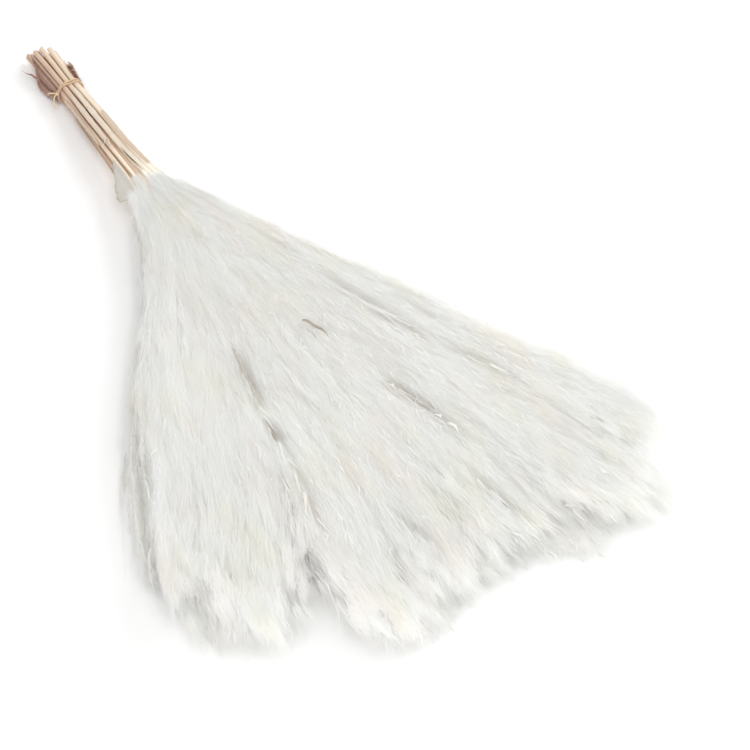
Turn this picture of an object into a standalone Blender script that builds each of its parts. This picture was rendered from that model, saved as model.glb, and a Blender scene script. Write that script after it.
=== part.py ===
"""A tied bundle of dried, bleached miscanthus, lying on a flat surface.

Metres, +Z up. While it is modelled, X runs along the bundle from the cut ends to the plume tips, Y
across the fan and Z up from the surface. At the end everything moves together, so that the origin is
the centre of the bundle's bounding box, on the surface.

Fourteen stems are packed in four rows where the twine holds them. Past the twine they spread into two
layers of seven, one on the other. Each stem carries one plume: a slim core with long feathery
branches that stand out of it. Every plume keeps to its own cell of the fan, so no two of them meet.
"""

import math
import random

import bmesh
import bpy
from mathutils import Matrix, Vector

# The bundle as a whole. Each pair is a station along X and the value there.
TIE_X = 0.055
CENTRE_Y = (
    (-0.017, 0.0100), (TIE_X, 0.0100), (0.12, 0.0080), (0.17, 0.0065), (0.23, 0.0070), (0.30, 0.0100),
    (0.40, 0.0055), (0.50, -0.0010), (0.60, -0.0020), (0.76, 0.0000),
)
CENTRE_Z = (
    (-0.017, 0.0113), (TIE_X, 0.0130), (0.12, 0.0195), (0.17, 0.0250), (0.23, 0.0300), (0.30, 0.0315),
    (0.40, 0.0290), (0.50, 0.0245), (0.60, 0.0235), (0.76, 0.0190),
)
FAN_HALF_WIDTH = (
    (-0.017, 0.0108), (TIE_X, 0.0085), (0.12, 0.0104), (0.17, 0.0118), (0.23, 0.0175), (0.30, 0.041),
    (0.40, 0.090), (0.50, 0.138), (0.60, 0.175), (0.70, 0.200), (0.76, 0.211),
)
LAYER_HALF_GAP = (
    (-0.017, 0.0055), (TIE_X, 0.0050), (0.12, 0.0060), (0.23, 0.0080), (0.30, 0.0100), (0.40, 0.0125),
    (0.50, 0.0145), (0.60, 0.0145), (0.76, 0.0115),
)
ROW_HALF_STAGGER = 0.0023
FAN_OPEN_X = 0.30

# One row for each stem, across the fan: its place in the open fan, where -1 and 1 are the outermost,
# where its plume starts and ends along X, and how far its tip drifts sideways, as a share of the fan.
# The drift takes place over the last DRIFT_SHARE of the plume.
UPPER_LAYER = (
    (-0.90, 0.234, 0.648, -0.08),
    (-0.47, 0.216, 0.704, -0.20),
    (-0.17, 0.238, 0.754, -0.06),
    (0.11, 0.218, 0.736, -0.05),
    (0.39, 0.236, 0.726, 0.02),
    (0.66, 0.222, 0.742, 0.11),
    (0.94, 0.240, 0.676, 0.17),
)
LOWER_LAYER = (
    (-1.02, 0.250, 0.598, -0.03),
    (-0.69, 0.244, 0.672, -0.12),
    (-0.33, 0.262, 0.672, 0.00),
    (-0.03, 0.252, 0.738, -0.04),
    (0.25, 0.266, 0.722, 0.00),
    (0.54, 0.250, 0.738, 0.03),
    (0.90, 0.258, 0.728, 0.06),
)
DRIFT_SHARE = 0.45

# Stems
STEM_SIDES = 8
BUTT_RADIUS = 0.00235
NECK_RADIUS = 0.00150
NECK_X = 0.25
STEM_BENDS = (0.12, 0.16, 0.19, 0.215)
LEAST_STATION_STEP = 0.009
JOINT_PLACES = (0.42, 0.77)
JOINT_SCATTER = 0.06
JOINT_SWELL = 0.00025
JOINT_HALF_LENGTH = 0.0022
CUT_SLANT = 0.9
FIRST_CUT_X = -0.017
CUT_SCATTER = 0.012
CUT_SKEW = 0.012

# Plumes. A share with no other word is of the cell's half width or of the plume's length.
PLUME_GAP = 0.0003
CELL_MARGIN = 0.0009
CELL_MOST_HALF_WIDTH = 0.030
CELL_ROUNDING = 0.32
ROUNDED_FROM = 0.72
UPWARD_ROOM = 1.42
FLOOR_CLEARANCE = 0.0007
CORE_SIDES = 8
CORE_RINGS = 8
CORE_RINGS_CROWDED = 1.15
CORE_SHARE = 0.44
CORE_LENGTH_SHARE = 0.84
CORE_TIP_RADIUS = 0.0009
CORE_GROWN_AT = 0.22
CORE_TAPER_FROM = 0.45
BELLY = (0.43, 0.47, 0.56, 0.60)
LEAST_RING_STEP = 0.015
BRANCHES = 14
FIRST_LAST_ROOT = (0.015, 0.45)
FIRST_LAST_END = (0.66, 1.0)
END_SCATTER = 0.10
BRANCH_PROFILE = ((0.0, 0.50), (0.26, 1.0), (0.58, 0.95), (0.86, 0.60))
BRANCH_HALF_WIDTH = 0.0030
BRANCH_THICKNESS = 0.0020
MOST_WIDTH_SHARE = 0.30
MOST_THICKNESS_SHARE = 0.20
BRANCH_SWAY = 0.30
TURN_SCATTER = 0.30
REACH_SCATTER = 0.06
INNER_EVERY = 3
ROOT_REACH = 0.16
SPREAD_BY = 0.62
INNER_REACH = 0.60
OUTER_REACH = 0.92
GOLDEN_ANGLE = math.pi * (3 - math.sqrt(5))

# Twine
TWINE_RADIUS = 0.0008
TWINE_SIDES = 6
TWINE_STEPS = 22
TWINE_GAP = 0.0006
TURNS_APART = 0.0016
TURNS_AT_KNOT = 0.0009
TURNS_PART_WITHIN = 0.015
KNOT_RADII = (0.0024, 0.0017, 0.0019)
KNOT_RING_HEIGHTS = (-0.6, 0.0, 0.6)
TWINE_ENDS = (
    ((0.0, 0.0, 0.0), (0.0015, -0.0035, -0.0005), (0.0045, -0.0060, -0.0025), (0.0080, -0.0070, -0.0055)),
    ((0.0, 0.0, 0.0), (-0.0020, -0.0030, 0.0005), (-0.0050, -0.0050, -0.0010), (-0.0085, -0.0055, -0.0040)),
)

# Papery leaf sheaths, each on one stem: from x to x, the direction it faces round the stem, with 0
# across the fan and 90 up, and how far it wraps to either side, in degrees.
SHEATHS = (
    ("upper_4", 0.066, 0.210, 90, 60),
    ("upper_2", 0.074, 0.164, 100, 52),
    ("upper_6", 0.112, 0.204, 78, 56),
    ("upper_1", 0.070, 0.152, 165, 55),
    ("lower_1", 0.092, 0.204, 200, 42),
)
SHEATH_ROWS = 9
SHEATH_COLUMNS = 5
SHEATH_THICKNESS = 0.0007
SHEATH_GAP = 0.0002
SHEATH_TAPER = 0.65
SHEATH_WAVE = 0.22
SHEATH_END_LIFT = 0.0008
TORN_STRIPS_ON = "upper_2"
TORN_STRIPS = (
    ((0.0, 0.0, 0.0), (0.006, 0.0005, 0.0030), (0.013, -0.0010, 0.0046), (0.020, -0.0035, 0.0030)),
    ((0.0, 0.0, 0.0), (0.004, -0.0010, 0.0032), (0.009, -0.0040, 0.0044), (0.012, -0.0075, 0.0028)),
)
TORN_STRIP_AT = 0.150
TORN_STRIP_RADIUS = 0.0006

# The leaf that hangs off the left side. One row per station: x and how far it reaches out.
FLAP_STEM = "upper_1"
FLAP_ROWS = (
    (0.1815, 0.0016), (0.1900, 0.0050), (0.1990, 0.0100), (0.2085, 0.0150), (0.2180, 0.0190),
    (0.2265, 0.0170), (0.2320, 0.0075),
)
FLAP_COLUMNS = ((100, 0.0), (132, 0.0), (162, 0.01), (188, 0.12), (203, 0.5), (212, 1.0))

# Brown husks round the butt. From share to share of the way round the bundle, which starts at its left
# and goes under it, and how far the loose edge stands off further than the rest.
HUSKS = {
    "husk_left": ((-0.004, 0.049), (0.91, 1.09), 0.0085),
    "husk_right": ((0.002, 0.050), (0.50, 0.690), 0.0058),
}
HUSK_ROWS = 8
HUSK_COLUMNS = 5
HUSK_STAND_OFF = 0.0013
HUSK_OPENING = (0.15, 0.85)
HUSK_RAGGED_ROUND = 0.022
HUSK_RAGGED_ALONG = 0.0022
HUSK_LOWEST = 0.0010
CURL = ((0.0, 0.0, 0.0), (-0.003, -0.0030, 0.0010), (-0.007, -0.0050, 0.0005), (-0.010, -0.0085, 0.0025))
CURL_ON = "husk_left"
CURL_RADIUS = 0.0005
SHARP_ANGLE = math.radians(50)
OUTLINE_STEPS = 96

MATERIALS = {
    "straw": ((0.62, 0.44, 0.24), 0.55),
    "ivory_plume": ((0.80, 0.78, 0.70), 0.90),
    "pale_sheath": ((0.74, 0.66, 0.50), 0.65),
    "brown_husk": ((0.34, 0.17, 0.11), 0.75),
    "twine": ((0.60, 0.43, 0.27), 0.85),
}


def smooth_through(stations):
    """The value at x of a smooth curve through (x, value) stations, level past both ends."""
    xs = [x for x, _ in stations]
    values = [value for _, value in stations]
    last = len(xs) - 1
    slopes = []
    for i in range(len(xs)):
        low, high = max(i - 1, 0), min(i + 1, last)
        slopes.append((values[high] - values[low]) / (xs[high] - xs[low]))

    def value_at(x):
        x = min(max(x, xs[0]), xs[last])
        i = next(i for i in range(last) if x <= xs[i + 1])
        step = xs[i + 1] - xs[i]
        t = (x - xs[i]) / step
        start = values[i] * (1 + 2 * t) * (1 - t) ** 2 + slopes[i] * step * t * (1 - t) ** 2
        end = values[i + 1] * t * t * (3 - 2 * t) - slopes[i + 1] * step * t * t * (1 - t)
        return start + end

    return value_at


def ease(t):
    """0 before 0, 1 after 1 and smooth between."""
    t = min(max(t, 0.0), 1.0)
    return t * t * (3 - 2 * t)


def mix(a, b, share):
    return a + (b - a) * share


centre_y = smooth_through(CENTRE_Y)
centre_z = smooth_through(CENTRE_Z)
fan_half_width = smooth_through(FAN_HALF_WIDTH)
layer_half_gap = smooth_through(LAYER_HALF_GAP)


class Stem:
    """One stem of a layer and the cell that its plume fills. Every section is taken across X."""

    def __init__(self, layer, number, rows):
        self.layer = layer
        self.name = f"{layer}_{number + 1}"
        self.side = 1 if layer == "upper" else -1
        middle = (len(rows) - 1) / 2
        self.packed_place = (number - middle) / middle
        self.outer_row = number % 2 == 1
        self.place, self.start, self.tip, self.drift = rows[number]
        self.random = random.Random(f"miscanthus {self.name}")
        skewed = CUT_SKEW * (self.packed_place + 1) / 2
        self.cut_x = FIRST_CUT_X + skewed + CUT_SCATTER * self.random.random()
        self.neighbours = []
        self.stations = self.culm_stations()

    def axis(self, x):
        """(y, z) of the stem's centre."""
        opened = ease((x - TIE_X) / (FAN_OPEN_X - TIE_X))
        drift_from = mix(self.tip, self.start, DRIFT_SHARE)
        drifted = self.drift * ease((x - drift_from) / (self.tip - drift_from)) ** 1.5
        place = mix(self.packed_place, self.place, opened) + drifted
        stagger = ROW_HALF_STAGGER * (1 if self.outer_row else -1) * (1 - opened)
        y = centre_y(x) + place * fan_half_width(x)
        z = centre_z(x) + self.side * (layer_half_gap(x) + stagger)
        return y, z

    def culm_radius(self, x):
        return mix(BUTT_RADIUS, NECK_RADIUS, ease((x - TIE_X) / (NECK_X - TIE_X)))

    def culm_stations(self):
        """(x, y, z, radius) of each section that the culm is skinned through, joints included."""
        end = self.start - PLUME_GAP
        swelling = {self.cut_x: 0.0, TIE_X: 0.0, end: 0.0}
        for place in JOINT_PLACES:
            joint = mix(self.cut_x, end, place + JOINT_SCATTER * self.random.random())
            swelling[joint - JOINT_HALF_LENGTH] = 0.0
            swelling[joint] = JOINT_SWELL
            swelling[joint + JOINT_HALF_LENGTH] = 0.0
        for bend in STEM_BENDS:
            if min(abs(bend - x) for x in swelling) > LEAST_STATION_STEP:
                swelling[bend] = 0.0
        return [(x, *self.axis(x), self.culm_radius(x) + swelling[x]) for x in sorted(swelling)]

    def culm_axis(self, x):
        """(y, z) on the straight run between the two sections of the culm around x."""
        for here, there in zip(self.stations, self.stations[1:]):
            if x <= there[0]:
                break
        share = (x - here[0]) / (there[0] - here[0])
        return mix(here[1], there[1], share), mix(here[2], there[2], share)

    def cell(self, x):
        """Half width, height above and depth below the axis of the room that the plume has."""
        y, z = self.axis(x)
        half_spacing = min(abs(other.axis(x)[0] - y) for other in self.neighbours) / 2
        rounded_from = mix(self.start, self.tip, ROUNDED_FROM)
        rounding = 1 - CELL_ROUNDING * ease((x - rounded_from) / (self.tip - rounded_from)) ** 2
        wide = min(half_spacing - CELL_MARGIN, CELL_MOST_HALF_WIDTH) * rounding
        half_gap = layer_half_gap(x)
        facing = min((half_gap - CELL_MARGIN) * rounding, wide)
        if self.layer == "upper":
            return wide, min(UPWARD_ROOM * half_gap * rounding, wide), facing
        return wide, facing, min(facing, z - FLOOR_CLEARANCE)

    def section_point(self, x, angle, share):
        """The point at this share of the way from the axis to the cell's wall, at an angle from +Y."""
        y, z = self.axis(x)
        wide, above, below = self.cell(x)
        tall = above if math.sin(angle) > 0 else below
        return y + share * wide * math.cos(angle), z + share * tall * math.sin(angle)


def make_stems():
    """All the stems by name. Neighbours are those beside each other in a layer."""
    stems = {}
    for layer, rows in (("upper", UPPER_LAYER), ("lower", LOWER_LAYER)):
        members = [Stem(layer, number, rows) for number in range(len(rows))]
        for left, right in zip(members, members[1:]):
            left.neighbours.append(right)
            right.neighbours.append(left)
        stems.update({stem.name: stem for stem in members})
    return stems


def material(name):
    found = bpy.data.materials.get(name)
    if found:
        return found
    colour, roughness = MATERIALS[name]
    made = bpy.data.materials.new(name)
    made.use_nodes = True
    shader = made.node_tree.nodes["Principled BSDF"]
    shader.inputs["Base Color"].default_value = (*colour, 1.0)
    shader.inputs["Roughness"].default_value = roughness
    shader.inputs["Metallic"].default_value = 0.0
    made.diffuse_color = (*colour, 1.0)
    return made


def add_object(name, shape, finish):
    """A mesh object from (points, faces), its closed surface facing outwards."""
    points, faces = shape
    mesh = bpy.data.meshes.new(name)
    mesh.from_pydata([tuple(p) for p in points], [], faces)
    work = bmesh.new()
    work.from_mesh(mesh)
    bmesh.ops.recalc_face_normals(work, faces=work.faces)
    work.to_mesh(mesh)
    work.free()
    mesh.shade_smooth()
    mesh.set_sharp_from_angle(angle=SHARP_ANGLE)
    mesh.materials.append(material(finish))
    made = bpy.data.objects.new(name, mesh)
    bpy.context.scene.collection.objects.link(made)
    return made


def band(here, there, sides):
    """Triangles between two rings of points that start at these indices."""
    faces = []
    for j in range(sides):
        k = (j + 1) % sides
        faces.append((here + j, here + k, there + k))
        faces.append((here + j, there + k, there + j))
    return faces


def skin(rings):
    """A closed tube through rings of equal size. A first or last ring of one point makes a tip."""
    points = [point for ring in rings for point in ring]
    sides = max(len(ring) for ring in rings)
    faces = []
    here = 0
    for ring, following in zip(rings, rings[1:]):
        there = here + len(ring)
        if len(ring) == 1:
            faces += [(here, there + (j + 1) % sides, there + j) for j in range(sides)]
        elif len(following) == 1:
            faces += [(here + j, here + (j + 1) % sides, there) for j in range(sides)]
        else:
            faces += band(here, there, sides)
        here = there
    if len(rings[0]) > 1:
        faces.append(tuple(range(sides - 1, -1, -1)))
    if len(rings[-1]) > 1:
        faces.append(tuple(here + j for j in range(sides)))
    return points, faces


def ring_skin(rings):
    """A tube through rings of equal size whose last ring joins its first."""
    points = [point for ring in rings for point in ring]
    sides = len(rings[0])
    faces = []
    for i in range(len(rings)):
        faces += band(i * sides, (i + 1) % len(rings) * sides, sides)
    return points, faces


def sheet(grid, thickness):
    """A curved sheet of even thickness through rows of points, split alike on both faces."""
    rows, columns = len(grid), len(grid[0])
    points = []
    for i in range(rows):
        for j in range(columns):
            along = grid[min(i + 1, rows - 1)][j] - grid[max(i - 1, 0)][j]
            across = grid[i][min(j + 1, columns - 1)] - grid[i][max(j - 1, 0)]
            offset = along.cross(across).normalized() * thickness / 2
            points += [grid[i][j] + offset, grid[i][j] - offset]

    def corner(i, j, face):
        return 2 * (i * columns + j) + face

    faces = []
    for i in range(rows - 1):
        for j in range(columns - 1):
            for face in (0, 1):
                a, b = corner(i, j, face), corner(i + 1, j, face)
                c, d = corner(i + 1, j + 1, face), corner(i, j + 1, face)
                faces += [(a, b, c), (a, c, d)] if face == 0 else [(a, c, b), (a, d, c)]
    edge = [(0, j) for j in range(columns)] + [(i, columns - 1) for i in range(1, rows)]
    edge += [(rows - 1, j) for j in range(columns - 2, -1, -1)] + [(i, 0) for i in range(rows - 2, 0, -1)]
    for (i, j), (k, m) in zip(edge, edge[1:] + edge[:1]):
        faces.append((corner(i, j, 0), corner(k, m, 0), corner(k, m, 1)))
        faces.append((corner(i, j, 0), corner(k, m, 1), corner(i, j, 1)))
    return points, faces


def tube_rings(path, radius, sides, square_to, closed=False):
    """Rings of a round tube along a path. One side of each ring stays square to a direction."""
    rings = []
    last = len(path) - 1
    for i, point in enumerate(path):
        before = path[i - 1] if closed else path[max(i - 1, 0)]
        after = path[(i + 1) % len(path)] if closed else path[min(i + 1, last)]
        along = (after - before).normalized()
        across = along.cross(square_to).normalized()
        other = along.cross(across)
        angles = [2 * math.pi * side / sides for side in range(sides)]
        rings.append([point + radius * (math.cos(a) * across + math.sin(a) * other) for a in angles])
    return rings


def outer_skin(mesh):
    """Fill the small sealed pockets that crossing pieces leave, by keeping only the largest skin."""
    work = bmesh.new()
    work.from_mesh(mesh)
    unseen = set(work.faces)
    skins = []
    while unseen:
        waiting = [unseen.pop()]
        found = []
        while waiting:
            face = waiting.pop()
            found.append(face)
            beside = {other for edge in face.edges for other in edge.link_faces} & unseen
            unseen -= beside
            waiting += beside
        skins.append(found)
    skins.sort(key=len)
    for pocket in skins[:-1]:
        bmesh.ops.delete(work, geom=pocket, context="FACES")
    work.to_mesh(mesh)
    work.free()


def fuse(name, pieces, finish):
    """One object from overlapping closed pieces."""
    base = pieces[0]
    rest = bpy.data.collections.new(name + "_pieces")
    for piece in pieces[1:]:
        rest.objects.link(piece)
        bpy.context.scene.collection.objects.unlink(piece)
    bpy.context.scene.collection.children.link(rest)
    join = base.modifiers.new("Join", "BOOLEAN")
    join.operation = "UNION"
    join.operand_type = "COLLECTION"
    join.collection = rest
    join.solver = "EXACT"
    graph = bpy.context.evaluated_depsgraph_get()
    joined = bpy.data.meshes.new_from_object(base.evaluated_get(graph))
    for piece in pieces:
        bpy.data.objects.remove(piece)
    bpy.data.collections.remove(rest)
    outer_skin(joined)
    joined.materials.clear()
    joined.materials.append(material(finish))
    made = bpy.data.objects.new(name, joined)
    bpy.context.scene.collection.objects.link(made)
    return made


def build_stem(stem):
    """A round culm that tapers to its plume, with swollen joints and a slanted cut end."""
    slant_angle = stem.random.random() * 2 * math.pi
    slant = CUT_SLANT * stem.random.random()
    rings = []
    for number, (x, y, z, radius) in enumerate(stem.stations):
        ring = []
        for side in range(STEM_SIDES):
            angle = 2 * math.pi * side / STEM_SIDES
            back = slant * radius * math.cos(angle - slant_angle) if number == 0 else 0.0
            ring.append((x + back, y + radius * math.cos(angle), z + radius * math.sin(angle)))
        rings.append(ring)
    return add_object("stem_" + stem.name, skin(rings), "straw")


def core_rings(stem):
    """The dense heart of a plume. The long ones underneath are flattened where they lie on the surface."""
    core_end = mix(stem.start, stem.tip, CORE_LENGTH_SHARE)
    shares = [(i / (CORE_RINGS - 1)) ** CORE_RINGS_CROWDED for i in range(CORE_RINGS)]
    xs = [mix(stem.start, core_end, share) for share in shares]
    lies_flat = stem.layer == "lower" and core_end > BELLY[-1]
    if lies_flat:
        clear = [x for x in xs if x < BELLY[0] - LEAST_RING_STEP or x > BELLY[-1] + LEAST_RING_STEP]
        xs = sorted(clear + list(BELLY))
    root_radius = stem.culm_radius(stem.start)
    rings = []
    for x in xs:
        y, z = stem.axis(x)
        wide, above, below = stem.cell(x)
        t = (x - stem.start) / (core_end - stem.start)
        grown = ease(t / CORE_GROWN_AT)
        tapered = ease((t - CORE_TAPER_FROM) / (1 - CORE_TAPER_FROM))
        ring = []
        for side in range(CORE_SIDES):
            angle = 2 * math.pi * (side + 0.5) / CORE_SIDES
            tall = above if math.sin(angle) > 0 else below
            across = mix(mix(root_radius, CORE_SHARE * wide, grown), CORE_TIP_RADIUS, tapered)
            up = mix(mix(root_radius, CORE_SHARE * tall, grown), CORE_TIP_RADIUS, tapered)
            height = z + up * math.sin(angle)
            underneath = math.sin(angle) < -0.99 * math.cos(math.pi / CORE_SIDES)
            if lies_flat and underneath and BELLY[1] <= x <= BELLY[2]:
                height = 0.0
            ring.append((x, y + across * math.cos(angle), height))
        rings.append(ring)
    return rings


def branch_rings(stem, number):
    """One feathery branch: a three-sided blade that leaves the core and bends along the plume."""
    draw = stem.random
    along = number / (BRANCHES - 1)
    inner = number % INNER_EVERY == INNER_EVERY - 1 or along == 1
    root = mix(stem.start, stem.tip, mix(*FIRST_LAST_ROOT, along))
    end = mix(stem.start, stem.tip, mix(*FIRST_LAST_END, along) - END_SCATTER * draw.random() * (1 - along))
    angle = number * GOLDEN_ANGLE + TURN_SCATTER * draw.random()
    reach = (INNER_REACH if inner else OUTER_REACH) - REACH_SCATTER * draw.random()
    sway = BRANCH_SWAY * (draw.random() - 0.5)
    rings = []
    for t, fullness in BRANCH_PROFILE:
        x = mix(root, end, t)
        wide, above, below = stem.cell(x)
        turned = angle + sway * t
        share = mix(ROOT_REACH, reach, math.sin(math.pi / 2 * min(t / SPREAD_BY, 1.0)))
        y, z = stem.section_point(x, turned, share)
        half = min(BRANCH_HALF_WIDTH, MOST_WIDTH_SHARE * wide) * fullness
        thick = min(BRANCH_THICKNESS, MOST_THICKNESS_SHARE * min(wide, above + below)) * fullness
        out = Vector((0, math.cos(turned), math.sin(turned)))
        side = Vector((0, -out.z, out.y)) * half
        middle = Vector((x, y, z))
        inside = middle - out * thick * 0.5
        rings.append([inside + side, middle + out * thick * 0.5, inside - side])
    rings.append([Vector((end, *stem.section_point(end, angle + sway, reach)))])
    return rings


def build_plume(stem):
    pieces = [add_object("core", skin(core_rings(stem)), "ivory_plume")]
    for number in range(BRANCHES):
        pieces.append(add_object("branch", skin(branch_rings(stem, number)), "ivory_plume"))
    return fuse("plume_" + stem.name, pieces, "ivory_plume")


def half_hull(points):
    """One side of the convex hull of points that are sorted along it."""
    hull = []
    for p in points:
        while len(hull) > 1:
            (ay, az), (by, bz) = hull[-2:]
            if (by - ay) * (p[1] - az) > (bz - az) * (p[0] - ay):
                break
            hull.pop()
        hull.append(p)
    return hull[:-1]


def bundle_outline(stems, x, offset, count):
    """Evenly spaced (y, z) points of a tight band round the bundle, from its left and on under it."""
    points = []
    for stem in stems.values():
        y, z = stem.axis(x)
        radius = stem.culm_radius(x) + offset
        for step in range(OUTLINE_STEPS):
            angle = 2 * math.pi * step / OUTLINE_STEPS
            points.append((y + radius * math.cos(angle), z + radius * math.sin(angle)))
    points.sort()
    hull = half_hull(points) + half_hull(points[::-1])
    closed = hull + hull[:1]
    lengths = [math.dist(a, b) for a, b in zip(closed, closed[1:])]
    spaced = []
    for number in range(count):
        left = sum(lengths) * number / count
        i = 0
        while left > lengths[i]:
            left -= lengths[i]
            i += 1
        spaced.append(tuple(Vector(closed[i]).lerp(Vector(closed[i + 1]), left / lengths[i])))
    return spaced


def ball(centre, radii):
    """A rough ellipsoid along X."""
    rings = [[centre - Vector((radii[0], 0, 0))]]
    for height in KNOT_RING_HEIGHTS:
        across = math.sqrt(1 - height * height)
        ring = []
        for side in range(TWINE_SIDES):
            angle = 2 * math.pi * side / TWINE_SIDES
            around = (radii[1] * across * math.cos(angle), radii[2] * across * math.sin(angle))
            ring.append(centre + Vector((radii[0] * height, *around)))
        rings.append(ring)
    rings.append([centre + Vector((radii[0], 0, 0))])
    return skin(rings)


def loose_end(start, path, radius):
    """A thin round strand from a start point along a path that is given from there."""
    points = [start + Vector(step) for step in path]
    return skin(tube_rings(points, radius, TWINE_SIDES, Vector((0, 0, 1))))


def build_twine(stems):
    """Two turns of twine that meet in a knot at the bundle's left, with two short ends."""
    pieces = []
    outline = bundle_outline(stems, TIE_X, TWINE_GAP + TWINE_RADIUS, TWINE_STEPS)
    left = Vector((TIE_X, *outline[0]))
    for side in (-1, 1):
        path = []
        for y, z in outline:
            apart = mix(TURNS_AT_KNOT, TURNS_APART, ease((y - left.y) / TURNS_PART_WITHIN))
            path.append(Vector((TIE_X + side * apart, y, z)))
        rings = tube_rings(path, TWINE_RADIUS, TWINE_SIDES, Vector((1, 0, 0)), closed=True)
        pieces.append(add_object("turn", ring_skin(rings), "twine"))
    knot = left - Vector((0, KNOT_RADII[1] - TWINE_RADIUS, 0))
    pieces.append(add_object("knot", ball(knot, KNOT_RADII), "twine"))
    for path in TWINE_ENDS:
        pieces.append(add_object("end", loose_end(knot, path, TWINE_RADIUS), "twine"))
    return fuse("twine_tie", pieces, "twine")


def on_culm(stem, x, degrees, stand_off):
    """The point at this distance off a culm's surface, at an angle round it."""
    y, z = stem.culm_axis(x)
    radius = stem.culm_radius(x) + JOINT_SWELL + SHEATH_GAP + SHEATH_THICKNESS / 2 + stand_off
    angle = math.radians(degrees)
    return Vector((x, y + radius * math.cos(angle), z + radius * math.sin(angle)))


def build_sheath(name, stem, first_x, last_x, facing, wrap):
    """A papery leaf sheath that hugs a stem, with wavy edges and tapered, lifted ends."""
    draw = random.Random(name)
    grid = []
    for i in range(SHEATH_ROWS):
        along = i / (SHEATH_ROWS - 1)
        fullness = 1 - SHEATH_TAPER * abs(2 * along - 1) ** 3
        span = wrap * fullness * (1 - SHEATH_WAVE * draw.random())
        lift = SHEATH_END_LIFT * abs(2 * along - 1) ** 6
        x = mix(first_x, last_x, along)
        turns = [2 * j / (SHEATH_COLUMNS - 1) - 1 for j in range(SHEATH_COLUMNS)]
        grid.append([on_culm(stem, x, facing + span * turn, lift) for turn in turns])
    return add_object(name, sheet(grid, SHEATH_THICKNESS), "pale_sheath")


def build_sheaths(stems):
    for number, (stem_name, *shape) in enumerate(SHEATHS):
        name = f"sheath_{number + 1}"
        sheath = build_sheath(name, stems[stem_name], *shape)
        if stem_name == TORN_STRIPS_ON:
            start = on_culm(stems[stem_name], TORN_STRIP_AT, shape[2], 0.0)
            strips = []
            for path in TORN_STRIPS:
                strips.append(add_object("strip", loose_end(start, path, TORN_STRIP_RADIUS), "pale_sheath"))
            fuse(name, [sheath] + strips, "pale_sheath")


def build_flap(stem):
    """A leaf that wraps a stem's side with its root and hangs out and down from it."""
    grid = []
    for x, reach in FLAP_ROWS:
        grid.append([on_culm(stem, x, degrees, reach * share) for degrees, share in FLAP_COLUMNS])
    return add_object("leaf_flap", sheet(grid, SHEATH_THICKNESS), "pale_sheath")


def build_husk(name, stems):
    """A ragged scrap of dry sheath against the butt. Its last column is the loose edge."""
    (first_x, last_x), (first_share, last_share), stand_off = HUSKS[name]
    draw = random.Random(name)
    grid = []
    for i in range(HUSK_ROWS):
        along = i / (HUSK_ROWS - 1)
        x = mix(first_x, last_x, along)
        close = bundle_outline(stems, x, HUSK_STAND_OFF, OUTLINE_STEPS)
        loose = bundle_outline(stems, x, HUSK_STAND_OFF + stand_off, OUTLINE_STEPS)
        ragged = draw.random() - 0.5
        opening = math.sin(math.pi * mix(*HUSK_OPENING, along))
        row = []
        for j in range(HUSK_COLUMNS):
            across = j / (HUSK_COLUMNS - 1)
            share = mix(first_share, last_share, across) + HUSK_RAGGED_ROUND * ragged * across
            spot = round(OUTLINE_STEPS * share) % OUTLINE_STEPS
            y, z = Vector(close[spot]).lerp(Vector(loose[spot]), opening * across**2)
            row.append(Vector((x + HUSK_RAGGED_ALONG * ragged * across, y, max(z, HUSK_LOWEST))))
        grid.append(row)
    husk = add_object(name, sheet(grid, SHEATH_THICKNESS), "brown_husk")
    if name == CURL_ON:
        curl = add_object("curl", loose_end(grid[1][-1], CURL, CURL_RADIUS), "brown_husk")
        fuse(name, [husk, curl], "brown_husk")


def settle():
    """Move everything so that the origin is the bottom centre of the bundle's bounding box."""
    objects = list(bpy.context.scene.collection.objects)
    corners = [Vector(corner) for built in objects for corner in built.bound_box]
    low = Vector([min(corner[i] for corner in corners) for i in range(3)])
    high = Vector([max(corner[i] for corner in corners) for i in range(3)])
    shift = Vector((-(low.x + high.x) / 2, -(low.y + high.y) / 2, -low.z))
    for built in objects:
        built.data.transform(Matrix.Translation(shift))


def main():
    for old in list(bpy.data.objects):
        bpy.data.objects.remove(old)
    stems = make_stems()
    for stem in stems.values():
        build_stem(stem)
        build_plume(stem)
    build_twine(stems)
    build_sheaths(stems)
    build_flap(stems[FLAP_STEM])
    for name in HUSKS:
        build_husk(name, stems)
    settle()


main()
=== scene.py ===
"""Looks of a tied bundle of dried, bleached miscanthus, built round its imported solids.

Everything is in metres. The bundle is laid out as in its solids: X runs from the cut ends to the plume
tips, Y across the fan and Z up from the surface. A finished piece is then moved by ORIGIN, which puts it
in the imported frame. Each plume solid gives way to its wires, spikelets and fine hairs, each stem to a
round culm with joints and a hollow cut end, and the sheaths, husks and twine to thin detailed ones.
"""

import math
import random

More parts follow.
